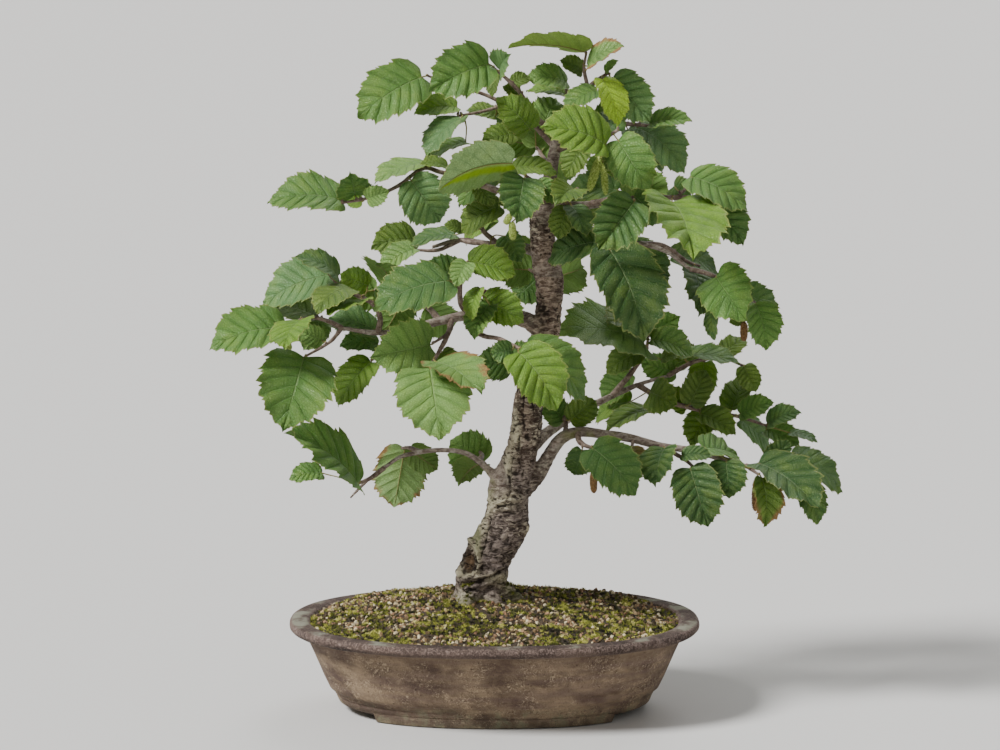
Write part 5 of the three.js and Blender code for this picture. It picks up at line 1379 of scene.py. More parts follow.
def leaf_finish(wire):
    place = wire.here()
    tint = wire.node("ShaderNodeAttribute", output="Color", attribute_name="tint")
    dry, turned, vein, from_rib, under = wire.kept("dry", "turned", "vein", "from_rib", "under")
    from_vein = wire.maths("PINGPONG", vein, 0.5)
    near_vein = 1 - from_vein.step(0.0, 0.11)
    lines = wire.maths("MAXIMUM", near_vein * (1 - from_rib * 0.6), 1 - from_rib.step(0.0, 0.05))
    thread = (1 - from_vein.step(0.0, 0.035)) * (1 - from_rib * 0.8) * 0.5
    thread = wire.maths("MAXIMUM", thread, 1 - from_rib.step(0.0, 0.025))
    net = wire.cells(place, 520, feature="DISTANCE_TO_EDGE").step(0.0, 0.2)
    blotch = wire.noise(place, 70, 3.0)
    speck = wire.noise(place, 620, 2.0)
    # From above: yellow blotches, light between the veins, dark blotches, the fine net, pale specks,
    # painted shade in the grooves of the veins with a pale thread in them, and the edge
    upper = wire.painted(
        tint,
        (blotch.step(0.5, 0.7) * 0.26, (158, 180, 66)),
        (from_vein.step(0.1, 0.4) * from_rib.step(0.1, 0.4) * 0.4, wire.mix(0.25, tint, (196, 214, 120))),
        (blotch.step(0.5, 0.3) * 0.35, (60, 96, 48)),
        ((1 - net) * 0.34, (46, 80, 32)),
        (speck.step(0.55, 0.75) * 0.3, (176, 198, 124)),
        (lines * (1 - under) * (blotch.step(0.3, 0.7) * 0.3 + 0.26), (46, 78, 34)),
        (thread * (1 - under) * 0.6, wire.mix(0.45, tint, (204, 220, 150))),
        (from_rib.step(0.94, 1.0) * 0.5, (180, 176, 100)),
    )
    lower = wire.painted(upper, (0.4, (144, 170, 96)), (lines * 0.5, (176, 186, 120)))
    burnt = (dry * (from_rib * 0.8 + blotch * 0.9 - 1.0)).step(0.05, 0.25)
    colour = wire.painted(
        upper,
        (under * 0.8, lower),
        (turned, (176, 208, 28)),
        (burnt, wire.mix(speck, (104, 72, 36), (176, 138, 84))),
    )
    bump = (net * 0.5 + speck * 0.3 - lines * (1 - under) + lines * under).bump(0.75, 1)
    skin = wire.node("ShaderNodeBsdfPrincipled", {
        "Base Color": colour, "Roughness": 0.5 + under * 0.15 + (1 - net) * 0.1 + burnt * 0.2,
        "Specular IOR Level": 0.45, "Normal": bump,
    })
    glow = wire.node("ShaderNodeBsdfTranslucent", {"Color": srgb(138, 176, 56), "Normal": bump})
    share = (0.25 + under * 0.2) * (1 - burnt * 0.7)
    return wire.node("ShaderNodeMixShader", {0: share, 1: skin, 2: glow})


leaf_material = new_material("leaf", leaf_finish)
print("leaf finish:", len(leaf_material.node_tree.nodes), "nodes")


# %% The twig and the catkin finishes
def twig_finish(wire):
    """Brown-grey young bark on the twigs, and green on the leaves' thin stalks."""
    place = wire.here()
    [girth] = wire.kept("girth")
    streak = wire.noise(place, 300, 3.0)
    spots = wire.cells(place, 420).step(0.1, 0.3)
    bark = wire.mix(streak.step(0.3, 0.7), (86, 66, 54), (136, 118, 104))
    bark = wire.mix((1 - spots) * 0.5, bark, (176, 160, 138))
    stalk = wire.mix(streak, (104, 112, 52), (150, 130, 70))
    return {
        "Base Color": wire.mix(girth.step(0.75, 1.0), stalk, bark), "Roughness": 0.55 + streak * 0.2,
        "Normal": (streak + spots * 0.3).bump(0.5, 0.4),
    }


def catkin_finish(wire):
    """Green young scales, dried brown on the catkins that hang low on the right."""
    place = wire.here()
    lit = wire.noise(place, 700, 2.0).step(0.35, 0.65)
    there = wire.node("ShaderNodeSeparateXYZ", {0: place}, "X")
    dried = there.step(0.03, 0.05) * (1 - there.other("Z").step(0.34, 0.36))
    # Both colours are paler where the lit noise is high, a painted highlight on the scales, and the young
    # green is raised above the scales' own as painted light, for catkins that hang in the leaves' shade
    young = wire.mix(lit, (146, 170, 66), (206, 220, 128))
    old = wire.mix(lit, (112, 78, 46), (162, 124, 78))
    patch = wire.noise(place, 90, 1.0).step(0.3, 0.4)
    return {"Base Color": wire.mix(dried * patch, young, old), "Roughness": 0.7}


twig_material = new_material("twig", twig_finish)
catkin_material = new_material("catkin", catkin_finish)
print("twig finish:", len(twig_material.node_tree.nodes), "nodes")
print("catkin finish:", len(catkin_material.node_tree.nodes), "nodes")

# %% [markdown]
# Twigs and stalks are thin round things along lines, and a catkin is a core with small scales set round
# it in a spiral, so both are made by Geometry Nodes. The tree takes the blades' mesh, draws a round
# section along the stem lines, scatters the scales along the catkin lines, and joins it all.


# %% The tree of nodes for one spray
KNOT_FINENESS = 260.0
KNOT_HEIGHT = 0.6 * MM
CATKIN_SIDES = 8
CATKIN_CORE = 0.8
SCALE_TURN = math.radians(137.5)


def new_tree(name, **sockets):
    """An empty Geometry Nodes tree with named inputs, and the wires that leave them."""
    tree = bpy.data.node_groups.new(name, "GeometryNodeTree")
    tree.interface.new_socket("Geometry", in_out="OUTPUT", socket_type="NodeSocketGeometry")
    tree.interface.new_socket("Geometry", in_out="INPUT", socket_type="NodeSocketGeometry")
    for label, (kind, value) in sockets.items():
        socket = tree.interface.new_socket(label, in_out="INPUT", socket_type="NodeSocket" + kind)
        if value is not None:
            socket.default_value = value
    entry = tree.nodes.new("NodeGroupInput")
    return tree, {socket.name: Wire(tree, socket) for socket in entry.outputs if socket.name}


def end_tree(geometry):
    """Turns instances into real mesh and ends the tree."""
    real = geometry.node("GeometryNodeRealizeInstances", {"Geometry": geometry})
    leave = geometry.tree.nodes.new("NodeGroupOutput")
    geometry.tree.links.new(real.socket, leave.inputs["Geometry"])


def with_material(geometry, material):
    """A geometry with one material on all of it."""
    return geometry.node("GeometryNodeSetMaterial", {"Geometry": geometry, "Material": material})


def joined(*geometries):
    """One geometry from several."""
    first = geometries[0]
    join = first.tree.nodes.new("GeometryNodeJoinGeometry")
    for geometry in geometries:
        first.tree.links.new(geometry.socket, join.inputs[0])
    return Wire(first.tree, join.outputs[0])


def mesh_of(wire, thing):
    """The geometry of an object that a tree is given."""
    return wire.node("GeometryNodeObjectInfo", {"Object": thing}, "Geometry")


def store(geometry, name, value, domain):
    """Keeps a number on a geometry under a name."""
    return geometry.node(
        "GeometryNodeStoreNamedAttribute", {"Geometry": geometry, "Name": name, "Value": value},
        data_type="FLOAT", domain=domain,
    )


def moved(geometry, push):
    """A geometry with its points moved."""
    return geometry.node("GeometryNodeSetPosition", {"Geometry": geometry, "Offset": push})


def scaled(vector, factor):
    """A vector made longer or shorter."""
    return vector.node(
        "ShaderNodeVectorMath", {"Vector": vector, "Scale": factor}, operation="SCALE"
    )


def tubes(lines, sides, radius, width):
    """Round tubes along lines, which carry their own radius."""
    ring = lines.node("GeometryNodeCurvePrimitiveCircle", {"Resolution": sides, "Radius": width})
    return lines.node("GeometryNodeCurveToMesh", {
        "Curve": lines, "Profile Curve": ring, "Scale": radius, "Fill Caps": True,
    })


def spray_tree():
    """Draws the stems and the catkins, and joins them to the blades."""
    tree, given = new_tree(
        "Leafy spray", stem_lines=("Object", None), catkin_lines=("Object", None),
        catkin_scale=("Object", None), stem_sides=("Int", 8), scales=("Int", 120),
    )
    wire = Wire(tree)
    radius = wire.node("GeometryNodeInputRadius")
    stems = store(mesh_of(wire, given["stem_lines"]), "girth", radius / MM, "POINT")
    stems = tubes(stems, given["stem_sides"], radius, 1.0)
    knots = wire.node("ShaderNodeTexNoise", {"Scale": KNOT_FINENESS, "Detail": 1.0}, "Fac") - 0.5
    girth = wire.node("GeometryNodeInputNamedAttribute", {"Name": "girth"}, "Attribute", data_type="FLOAT")
    stems = moved(stems, scaled(wire.node("GeometryNodeInputNormal"), knots * girth * KNOT_HEIGHT))
    stems = wire.node("GeometryNodeSetShadeSmooth", {"Geometry": stems, "Shade Smooth": True})
    stems = with_material(stems, twig_material)
    hung = mesh_of(wire, given["catkin_lines"])
    core = tubes(hung, CATKIN_SIDES, radius, CATKIN_CORE)
    spots = wire.node(
        "GeometryNodeCurveToPoints", {"Curve": hung, "Count": given["scales"]}, "Points", mode="COUNT"
    )
    turn = wire.node("FunctionNodeAxisAngleToRotation", {
        "Axis": (0, 0, 1), "Angle": wire.node("GeometryNodeInputIndex") * SCALE_TURN,
    })
    rotation = wire.node(
        "FunctionNodeRotateRotation", {0: spots.other("Rotation"), 1: turn}, rotation_space="LOCAL"
    )
    scales = wire.node("GeometryNodeInstanceOnPoints", {
        "Points": spots, "Instance": mesh_of(wire, given["catkin_scale"]), "Rotation": rotation,
        "Scale": radius,
    }, "Instances")
    catkins = with_material(joined(core, scales), catkin_material)
    end_tree(joined(given["Geometry"], stems, catkins))
    return tree


def run_tree(thing, tree, name, **values):
    """Puts a tree on an object, sets its inputs and keeps the result as a plain mesh."""
    modifier = thing.modifiers.new(tree.name, "NODES")
    modifier.node_group = tree
    for socket in tree.interface.items_tree:
        if socket.in_out == "INPUT" and socket.name in values:
            modifier[socket.identifier] = values[socket.name]
    return settled(thing, name)


def lines_object(name, lines):
    """A curve object with one line through each list of points and radii."""
    curve = bpy.data.curves.new(name, "CURVE")
    curve.dimensions = "3D"
    for line in lines:
        spline = curve.splines.new("POLY")
        spline.points.add(len(line) - 1)
        for place, (point, radius) in zip(spline.points, line):
            place.co = (*point, 1)
            place.radius = radius
    return linked(name, curve)


spray_nodes = spray_tree()
print("spray tree:", len(spray_nodes.nodes), "nodes")


# %% The stalks, the buds and the catkins of a spray
STALK_STEPS = 5
SHORTEST_STALK = 1 * MM
STALK_BOW = 0.6
MIDRIB_SHARES = (0.08, 0.2, 0.34, 0.5, 0.66, 0.82, 0.94)
# Pairs of the way along and the radius: a bud's in mm, and a catkin's as shares of its own
BUD_SHAPE = [(0, 0.7), (0.9, 1.2), (1.8, 1.25), (2.7, 0.8), (3.3, 0.15)]
CATKIN_SHAPE = [(0, 0.5), (0.06, 0.8), (0.2, 1), (0.5, 1.04), (0.8, 0.9), (0.93, 0.62), (1, 0.3)]
CATKIN_STALK_RADIUS = 0.55 * MM


def stalk_line(lay):
    """A leaf's stalk from its twig to the blade, and on under the blade as its midrib."""
    reach = max((lay.base - lay.root).length, SHORTEST_STALK)
    leave = (lay.base - lay.root).normalized() if reach > SHORTEST_STALK else lay.along
    line = []
    for step in range(STALK_STEPS + 1):
        share = step / STALK_STEPS
        straight = lay.root.lerp(lay.base, share)
        bow = (leave - lay.along) * (reach * share * (1 - share) ** 2)
        line.append((straight + bow * STALK_BOW, (0.85 - 0.3 * min(share * 3, 1)) * MM))
    for share in MIDRIB_SHARES:
        radius = (0.52 - 0.42 * share) * MM
        place = blade_middle(lay, np.array([share]), np.array([0.0]), np.zeros(1))[0]
        line.append((Vector(place) - lay.normal * radius, radius))
    return line


def bud_line(lay):
    """A small round bud in the fork over a stalk."""
    outward = lay.base - lay.root
    outward = outward.normalized() if outward.length > SHORTEST_STALK else lay.along
    outward = (outward + lay.normal * 0.9 + Vector((0, 0, 0.3))).normalized()
    return [(lay.root + outward * (along * MM), radius * MM) for along, radius in BUD_SHAPE]


def catkin_line(catkin, places):
    """A catkin's short stalk and its body, as two lines."""
    top_column, top_row, end_column, end_row, radius = catkin
    root = nearest_place(places, top_column, top_row)
    top = drawn(top_column, top_row, root.depth)
    end = drawn(end_column, end_row, root.depth)
    stalk = [(root.point.lerp(top, share), CATKIN_STALK_RADIUS) for share in (0, 0.5, 1)]
    return stalk, [(top.lerp(end, share), radius * size * MM) for share, size in CATKIN_SHAPE]


# One scale, for a catkin whose radius is 1
scale_points = [
    (0.7, 0, -0.35), (0.85, 0.42, 0.1), (0.85, -0.42, 0.1), (1.24, 0, 0.5), (1.14, 0, 0.05),
    (0.7, 0, 0.35),
]
scale_faces = [
    (0, 1, 4), (0, 4, 2), (4, 1, 3), (4, 3, 2), (0, 2, 5), (0, 5, 1), (5, 2, 3), (5, 3, 1),
]
scale_mesh = facing_out(new_mesh("catkin_scale", scale_points, scale_faces))
catkin_scale = add_object("catkin_scale", scale_mesh)
print("catkin scale:", triangles(catkin_scale), "triangles")


# %% Make the sprays
# Blades longer than so many mm have so many columns on each side of the midrib
BLADE_COLUMNS = [(42, 6), (25, 5), (0, 4)]


def leaf_tint(colour, key):
    """A leaf's own colour, a little lighter or darker than its kind."""
    kinds = [word for word in colour.split() if word in LEAF_COLOURS]
    kind = kinds[0] if kinds else "green"
    share = 0.86 + 0.28 * chance(key + 6)
    return [channel * share for channel in LEAF_COLOURS[kind][:3]] + [1.0]


def make_spray(name, spray, places, leaves):
    """One spray as a plain mesh: its blades with their numbers and tints, its stems and its catkins."""
    points, faces, edges, tints, dryness, turned = [], [], [], [], [], []
    numbers = [[], [], []]
    count = 0
    for lay in leaves:
        columns = next(number for length, number in BLADE_COLUMNS if lay.length > length * MM)
        blade, blade_faces, blade_edge, blade_numbers = blade_mesh(lay, columns)
        points.append(blade)
        faces += [tuple(corner + count for corner in face) for face in blade_faces]
        edges += [tuple(corner + count for corner in face) for face in blade_edge]
        if "folded" in lay.colour:
            # The lower half keeps the under side's colour, and a strip of it next to its midrib is
            # coloured as turned over; the blade itself is not bent
            low = blade_numbers[3] * lay.across.z < 0
            from_rib = blade_numbers[1]
            blade_numbers[2] = blade_numbers[2] * low
            turned.append(low * soft(from_rib, 0.02, 0.06) * (1 - soft(from_rib, 0.5, 0.56)))
        else:
            turned.append(np.zeros(len(blade)))
        for kept, found in zip(numbers, blade_numbers):
            kept.append(found)
        tints.append(np.tile(leaf_tint(lay.colour, lay.key), (len(blade), 1)))
        dryness.append(np.full(len(blade), float("dry" in lay.colour)))
        count += len(blade)
    mesh = new_mesh(name, np.concatenate(points), faces + edges)
    mesh.polygons.foreach_set("use_smooth", [True] * len(faces) + [False] * len(edges))
    for label, values in zip(("vein", "from_rib", "under"), numbers):
        keep_numbers(mesh, label, np.concatenate(values))
    keep_numbers(mesh, "dry", np.concatenate(dryness))
    keep_numbers(mesh, "turned", np.concatenate(turned))
    tint = mesh.attributes.new("tint", "FLOAT_COLOR", "POINT")
    tint.data.foreach_set("color", np.concatenate(tints).astype(np.float32).ravel())
    stem_lines = [stations(line, STEM_STEPS) for line in spray["stems"]]
    stem_lines += [stalk_line(lay) for lay in leaves] + [bud_line(lay) for lay in leaves]
    catkin_lines = []
    for catkin in spray.get("catkins", []):
        stalk, body = catkin_line(catkin, places)
        stem_lines.append(stalk)
        catkin_lines.append(body)
    stems = lines_object("stem_lines", stem_lines)
    hung = lines_object("catkin_lines", catkin_lines)
    values = {"stem_lines": stems, "catkin_lines": hung, "catkin_scale": catkin_scale}
    piece = run_tree(add_object(name, mesh, leaf_material), spray_nodes, name + "_leaves", **values)
    bpy.data.objects.remove(stems)
    bpy.data.objects.remove(hung)
    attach(piece, "root")
    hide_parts(name)
    return piece


spray_pieces = [make_spray(*laid) for laid in laid_sprays]
bpy.data.objects.remove(catkin_scale)
spray_sizes = [triangles(piece) for piece in spray_pieces]
print("sprays:", len(spray_pieces), "with", sum(spray_sizes), "triangles, at most", max(spray_sizes))

# %% [markdown]
# ## The soil
# A bonsai stands in baked-clay grit, heaped a little towards the trunk, and moss creeps over it. The
# mound itself is a stack of ovals. The grit and the moss are thousands of small things on its surface,
# so Geometry Nodes scatter them with a fixed seed. Noise and a few patches decide where moss grows, and
# it climbs a little way up the foot of the trunk. The grit lies thickly where there is none and thinly
# under the moss.

# %% The mound
MOUND_HEIGHT = 10.4 * MM
SOIL_EDGE = 68.6 * MM
SOIL_LEVEL = 68.4 * MM
BACK_RISE = 6 * MM
SOIL_SIDES = 128
SOIL_RINGS = 30
INNER_BRIM = 16.9 * MM
# The mound's section inside the pot, as pairs of inset and height in mm
SOIL_BELOW = [(51.6, 14.9), (43, 17), (28.4, 43), (19.8, 63)]
# The rise round the trunk: its height, and how fast it falls off, in square mm
SWELL_HEIGHT = 3 * MM
SWELL_AREA = 3200 * MM * MM
# The unevenness: the pattern's size, where it is read and its height, in mm
SOIL_WAVES = [(19, 0, 1.8), (9, 50, 1.7)]


def soil_height(x, y):
    """The soil's height at a place, as the frame's solid has it, with a little more unevenness."""
    u = (x - POT_CENTRE.x) / (POT_LENGTH / 2)
    v = (y - POT_CENTRE.y) / (POT_DEPTH / 2)
    mound = MOUND_HEIGHT * max(0, 1 - (u * u + v * v) / 0.8) ** 1.3
    near_trunk = (TRUNK_FOOT.x - x) ** 2 + (TRUNK_FOOT.y - y) ** 2
    swell = SWELL_HEIGHT * math.exp(-near_trunk / SWELL_AREA)
    rough = sum(
        noise.noise(Vector((x, y, level * MM)) / (size * MM)) * height * MM
        for size, level, height in SOIL_WAVES
    )
    back = BACK_RISE * min(1, max(0, (v - 0.1) / 0.5)) * min(1, (1 - u * u) * 2)
    return SOIL_LEVEL + mound + swell + rough + back


def plain_ring(inset, height):
    """An oval inside the pot."""
    return [
        oval_point(inset * MM, height * MM, 2 * math.pi * side / SOIL_SIDES) for side in range(SOIL_SIDES)
    ]


def soil_ring(share):
    """An oval on the mound, at a share of the way from its middle to the brim."""
    ring = []
    for rim in plain_ring(INNER_BRIM / MM, 0):
        point = POT_CENTRE.lerp(rim, share)
        point.z = SOIL_EDGE if share == 1 else soil_height(point.x, point.y)
        ring.append(point)
    return ring


soil_rings = [plain_ring(*place) for place in SOIL_BELOW]
soil_rings += [soil_ring(1 - ring / SOIL_RINGS) for ring in range(SOIL_RINGS)]
soil = add_object("soil_mound", facing_out(join_rings("soil", soil_rings)))
soil.data.shade_smooth()
print("soil mound:", triangles(soil), "triangles")

# %% Where grit and moss are scattered
# Each row: millimetres to the right and to the back of the pot's middle, the patch's reach, and how
# much more moss grows there, or less where the number is negative
MOSS_PATCHES = [
    [-100, -72, 46, 0.07], [-24, -44, 36, 0.08], [58, -20, 32, 0.06], [124, -40, 30, 0.04],
    [28, -22, 34, -0.08], [-64, -10, 26, -0.04],
]
PATCH_HEIGHT = 80 * MM
# The share of the grit that moss keeps away
MOSS_OVER_GRIT = 0.88
GRIT_ROUGHNESS = 3.2 * MM
FULL_TURN = 6.283


def moss_cover(wire):
    """Where moss grows, from 0 to 1."""
    place = wire.node("GeometryNodeInputPosition")
    cover = wire.noise(place, 26, 2.0, 0.6) * 0.4 + wire.noise(place, 82, 2.0, 0.6) * 0.6
    for right, back, reach, more in MOSS_PATCHES:
        middle = Vector((POT_CENTRE.x + right * MM, POT_CENTRE.y + back * MM, PATCH_HEIGHT))
        away = wire.vectors("DISTANCE", place, middle, "Value")
        cover = cover + (1 - away.step(reach * 0.4 * MM, reach * 1.3 * MM)) * more
    return cover.step(0.48, 0.52)


def drawn_lots(wire, seed, kind="FLOAT", **limits):
    """A random value for each point or instance."""
    return wire.node("FunctionNodeRandomValue", {**limits, "Seed": seed}, "Value", data_type=kind)


def scatter_tree(name, cover):
    """A surface's points with a density that follows a cover pattern, each carrying one small shape."""
    tree, given = new_tree(
        name, shape=("Object", None), per_square_metre=("Float", 1000.0), seed=("Int", 4),
        smallest=("Float", 0.7), largest=("Float", 1.3), tilt=("Float", 3.0), sunk=("Float", 0.0),
    )
    wire = Wire(tree)
    facing_up = wire.node("ShaderNodeSeparateXYZ", {0: wire.node("GeometryNodeInputNormal")}, "Z")
    density = given["per_square_metre"] * cover(wire) * facing_up.step(0.2, 0.7)
    spots = wire.node("GeometryNodeDistributePointsOnFaces", {
        "Mesh": given["Geometry"], "Density": density, "Seed": given["seed"],
    }, "Points")
    size = drawn_lots(wire, given["seed"] + 1, Min=given["smallest"], Max=given["largest"])
    spin = drawn_lots(wire, given["seed"] + 2, "FLOAT_VECTOR", Min=(0.0, 0.0, 0.0), Max=(1.0, 1.0, 1.0))
    lean = wire.node("ShaderNodeCombineXYZ", {0: given["tilt"], 1: given["tilt"], 2: FULL_TURN})
    things = wire.node("GeometryNodeInstanceOnPoints", {
        "Points": spots, "Rotation": wire.vectors("MULTIPLY", spin, lean), "Scale": size,
        "Instance": mesh_of(wire, given["shape"]),
    }, "Instances")
    things = wire.node("GeometryNodeTranslateInstances", {
        "Instances": things, "Local Space": False,
        "Translation": wire.node("ShaderNodeCombineXYZ", {2: given["sunk"] * -1}),
    })
    return store(things, "shade", drawn_lots(wire, given["seed"] + 3), "INSTANCE")


def grit_tree(material):
    """Scattered grains, each made uneven."""
    grains = scatter_tree("Grit", lambda wire: 1 - moss_cover(wire) * MOSS_OVER_GRIT)
    grains = grains.node("GeometryNodeRealizeInstances", {"Geometry": grains})
    rough = grains.noise(grains.node("GeometryNodeInputPosition"), 420, 1.0, output="Color")
    push = scaled(grains.vectors("SUBTRACT", rough, (0.5, 0.5, 0.5)), GRIT_ROUGHNESS)
    end_tree(with_material(moved(grains, push), material))
    return grains.tree


def moss_tree(material):
    """Scattered tufts."""
    tufts = scatter_tree("Moss", moss_cover)
    end_tree(with_material(tufts, material))
    return tufts.tree


print("moss patches:", len(MOSS_PATCHES))

# %% A grain, a tuft and the ground for moss
GRAIN_RADIUS = 1.6 * MM
GRAIN_SIZES = (1.35, 0.9, 0.7)
TUFT_SHOOTS = 11
SHOOT_WIDTH = 0.42
TRUNK_MOSS_LOW = 78 * MM
TRUNK_MOSS_HIGH = 97 * MM
GOLDEN_ANGLE = 2.4


def grain_shape():
    """A grain of grit, a flat chip of twenty faces."""
    shape = bmesh.new()
    bmesh.ops.create_icosphere(shape, subdivisions=1, radius=GRAIN_RADIUS)
    bmesh.ops.scale(shape, vec=GRAIN_SIZES, verts=shape.verts)
    return add_object("grain", plain_mesh("grain", shape))


def tuft_shape():
    """A tuft of moss: short pointed shoots of four faces that spread from one root."""
    points, faces = [], []
    for shoot in range(TUFT_SHOOTS):
        heading = shoot * GOLDEN_ANGLE
        spread = 0.2 + 1.2 * math.sqrt(shoot / TUFT_SHOOTS)
        top = Vector((
            math.cos(heading) * math.sin(spread), math.sin(heading) * math.sin(spread), math.cos(spread)
        ))
        side = top.orthogonal().normalized() * SHOOT_WIDTH * MM
        third = top.cross(side)
        first = len(points)
        points += [side, third * 0.87 - side * 0.5, third * -0.87 - side * 0.5]
        points.append(top * (1.7 + 0.9 * chance(shoot)) * MM)
        faces += [(first + a, first + b, first + 3) for a, b in ((0, 1), (1, 2), (2, 0))]
        faces.append((first + 2, first + 1, first))
    return add_object("tuft", facing_out(new_mesh("tuft", points, faces)))


def moss_ground():
    """The soil and the lowest part of the trunk, where moss can take hold."""
    shape = bmesh.new()
    shape.from_mesh(wood.data)
    away = [corner for corner in shape.verts if not TRUNK_MOSS_LOW < corner.co.z < TRUNK_MOSS_HIGH]
    bmesh.ops.delete(shape, geom=away, context="VERTS")
    shape.from_mesh(soil.data)
    return add_object("moss_ground", plain_mesh("moss ground", shape))


grain = grain_shape()
tuft = tuft_shape()
print("triangles of a grain:", triangles(grain), "and of a tuft:", triangles(tuft))


# %% Finish the soil and scatter the grit and the moss
def grit_finish(wire):
    """Dry baked clay: tan, pinkish and cream grains with dark and damp ones among them."""
    place = wire.here()
    [shade] = wire.kept("shade")
    dust = wire.noise(place, 900, 2.0)
    damp = wire.noise(place, 110, 2.0).step(0.56, 0.42)
    colour = shade.ramp(
        (0.0, (34, 27, 19)), (0.22, (78, 61, 41)), (0.42, (134, 110, 74)), (0.58, (156, 114, 88)),
        (0.76, (192, 170, 126)), (0.93, (234, 220, 182)), (1.0, (96, 76, 50)),
    )
    colour = wire.painted(
        colour, (dust.step(0.35, 0.75) * 0.35, (96, 80, 54)), (damp * 0.3, (64, 50, 34))
    )
    return {"Base Color": colour, "Roughness": 0.92, "Normal": dust.bump(0.6, 0.4)}


def moss_finish(wire):
    """Tufts that differ from dark brown through green to straw, and with them whole patches."""
    [shade] = wire.kept("shade")
    patch = wire.noise(wire.here(), 95, 2.0).step(0.34, 0.66)
    colour = (shade * 0.55 + patch * 0.5 - 0.02).ramp(
        (0.12, (28, 24, 11)), (0.34, (64, 64, 22)), (0.56, (120, 126, 40)), (0.76, (172, 172, 72)),
        (0.95, (222, 212, 136)),
    )
    return {"Base Color": colour, "Roughness": 0.85}


def soil_finish(wire):
    """The damp fine soil that shows between the grains."""
    crumb = wire.noise(wire.here(), 620, 3.0)
    colour = wire.mix(crumb.step(0.35, 0.7), (30, 23, 15), (76, 62, 42))
    return {"Base Color": colour, "Roughness": 0.95, "Normal": crumb.bump(1.0, 1.2)}


soil.data.materials.append(new_material("soil", soil_finish))
grit = run_tree(
    add_object("grit_ground", soil.data.copy()), grit_tree(new_material("grit", grit_finish)), "soil_grit",
    shape=grain, per_square_metre=105000.0, seed=7, smallest=0.5, largest=1.4, tilt=FULL_TURN,
    sunk=0.2 * MM,
)
moss = run_tree(
    moss_ground(), moss_tree(new_material("moss", moss_finish)), "soil_moss",
    shape=tuft, per_square_metre=138000.0, seed=19, smallest=0.6, largest=1.7, tilt=0.9, sunk=0.1 * MM,
)
for shape in (grain, tuft):
    bpy.data.objects.remove(shape)
for thing in (grit, moss):
    print(thing.name, triangles(thing), "triangles")

# %% [markdown]
# ## The clay, the bark and the mesh
# Unglazed stoneware is a warm grey-brown, with painted shade under the rim, and it turns mauve where
# fingers and weather have worn it. The rim is darker, partly its own colour and partly painted shade,
# with a painted highlight along its lip. Algae settle low down, where the clay stays damp. The bark is
# grey-brown with pale flakes on what stands proud and dark cracks, partly its own colours and partly a
# painted highlight and painted shade, and the number that was kept with the relief says which is which.

# %% The clay, the bark and the plastic
# Heights in mm between which a coat fades in or out: on the pot the underside of the rim, its lip, its
# top, the shaded and the damp wall and the splashed foot, and on the trunk where it turns smoother and
# where scars begin
UNDER_RIM = (61.6, 62.6)
LIP_START = (65.0, 68.4)
LIP_END = (70.6, 71.3)
RIM_TOP = (70.4, 71.3)
SHADED_WALL = (50.0, 60.0)
DAMP_WALL = (5.0, 20.0)
SPLASHED_FOOT = (1.0, 9.0)
SMOOTHER_BARK = (170.0, 240.0)
SCARRED_BARK = (130.0, 200.0)


def heights(wire, place, *spans):
    """For each span 0 below its first height and 1 above its second."""
    height = wire.node("ShaderNodeSeparateXYZ", {0: place}, "Z")
    return [height.step(start * MM, end * MM) for start, end in spans]


def clay_finish(wire):
    place = wire.here()
    cloud = wire.noise(wire.stretched(place, (0.7, 0.7, 1.5)), 34, 5.0, 0.65)
    bands = wire.noise(wire.stretched(place, (0.6, 0.6, 9.0)), 26, 3.0)
    grain = wire.noise(place, 700, 3.0, 0.7)
    pores = wire.cells(place, 520).step(0.06, 0.2)
    pits = wire.noise(place, 330, 2.0).step(0.66, 0.72)
    scratch = wire.noise(place, 260, 3.0, 0.75, 2.4)
    hatch = wire.noise(place, 60, 3.0).step(0.4, 0.62)
    green = wire.noise(place, 48, 5.0, 0.68)
    rim, lip, past_lip, top, shade, dry, unsplashed = heights(
        wire, place, UNDER_RIM, LIP_START, LIP_END, RIM_TOP, SHADED_WALL, DAMP_WALL, SPLASHED_FOOT
    )
    rim_tone_and_shade = wire.mix(cloud.step(0.35, 0.65), (44, 33, 30), (84, 68, 62))
    # Clouds, bands, pale and dark scratches, pits, the darker rim, partly its own colour and partly
    # painted shade, with a painted highlight on its lip and a dusty top, the painted shade under it, algae
    # and stains low down, the splashed foot and the pores
    colour = wire.painted(
        wire.mix(cloud.step(0.32, 0.68), (80, 63, 53), (156, 135, 109)),
        (bands.step(0.42, 0.66) * 0.5, (112, 92, 84)),
        (scratch.step(0.53, 0.63) * hatch * 0.6, (198, 178, 148)),
        (scratch.step(0.45, 0.35) * hatch * 0.6, (70, 54, 44)),
        (pits * 0.7, (62, 46, 38)),
        (rim * 0.9, wire.mix(scratch.step(0.52, 0.64) * 0.5, rim_tone_and_shade, (136, 117, 108))),
        (lip * (1 - past_lip) * scratch.step(0.42, 0.6) * 0.35, (170, 148, 138)),
        (top * cloud.step(0.5, 0.62) * 0.6, (152, 156, 136)),
        (shade * (1 - rim) * 0.4, (84, 66, 54)),
        ((1 - dry) * green.step(0.44, 0.64) * 0.6, (126, 132, 104)),
        ((1 - dry) * green.step(0.5, 0.4) * 0.5, (76, 66, 54)),
        ((1 - unsplashed) * 0.35, (84, 78, 60)),
        ((1 - pores) * 0.55, (66, 50, 42)),
    )
    return {
        "Base Color": colour, "Roughness": 0.7 + grain * 0.2, "Specular IOR Level": 0.3,
        "Normal": (grain * 0.4 + pores * 0.4 + scratch * 0.9).bump(1.0, 1.4),
    }


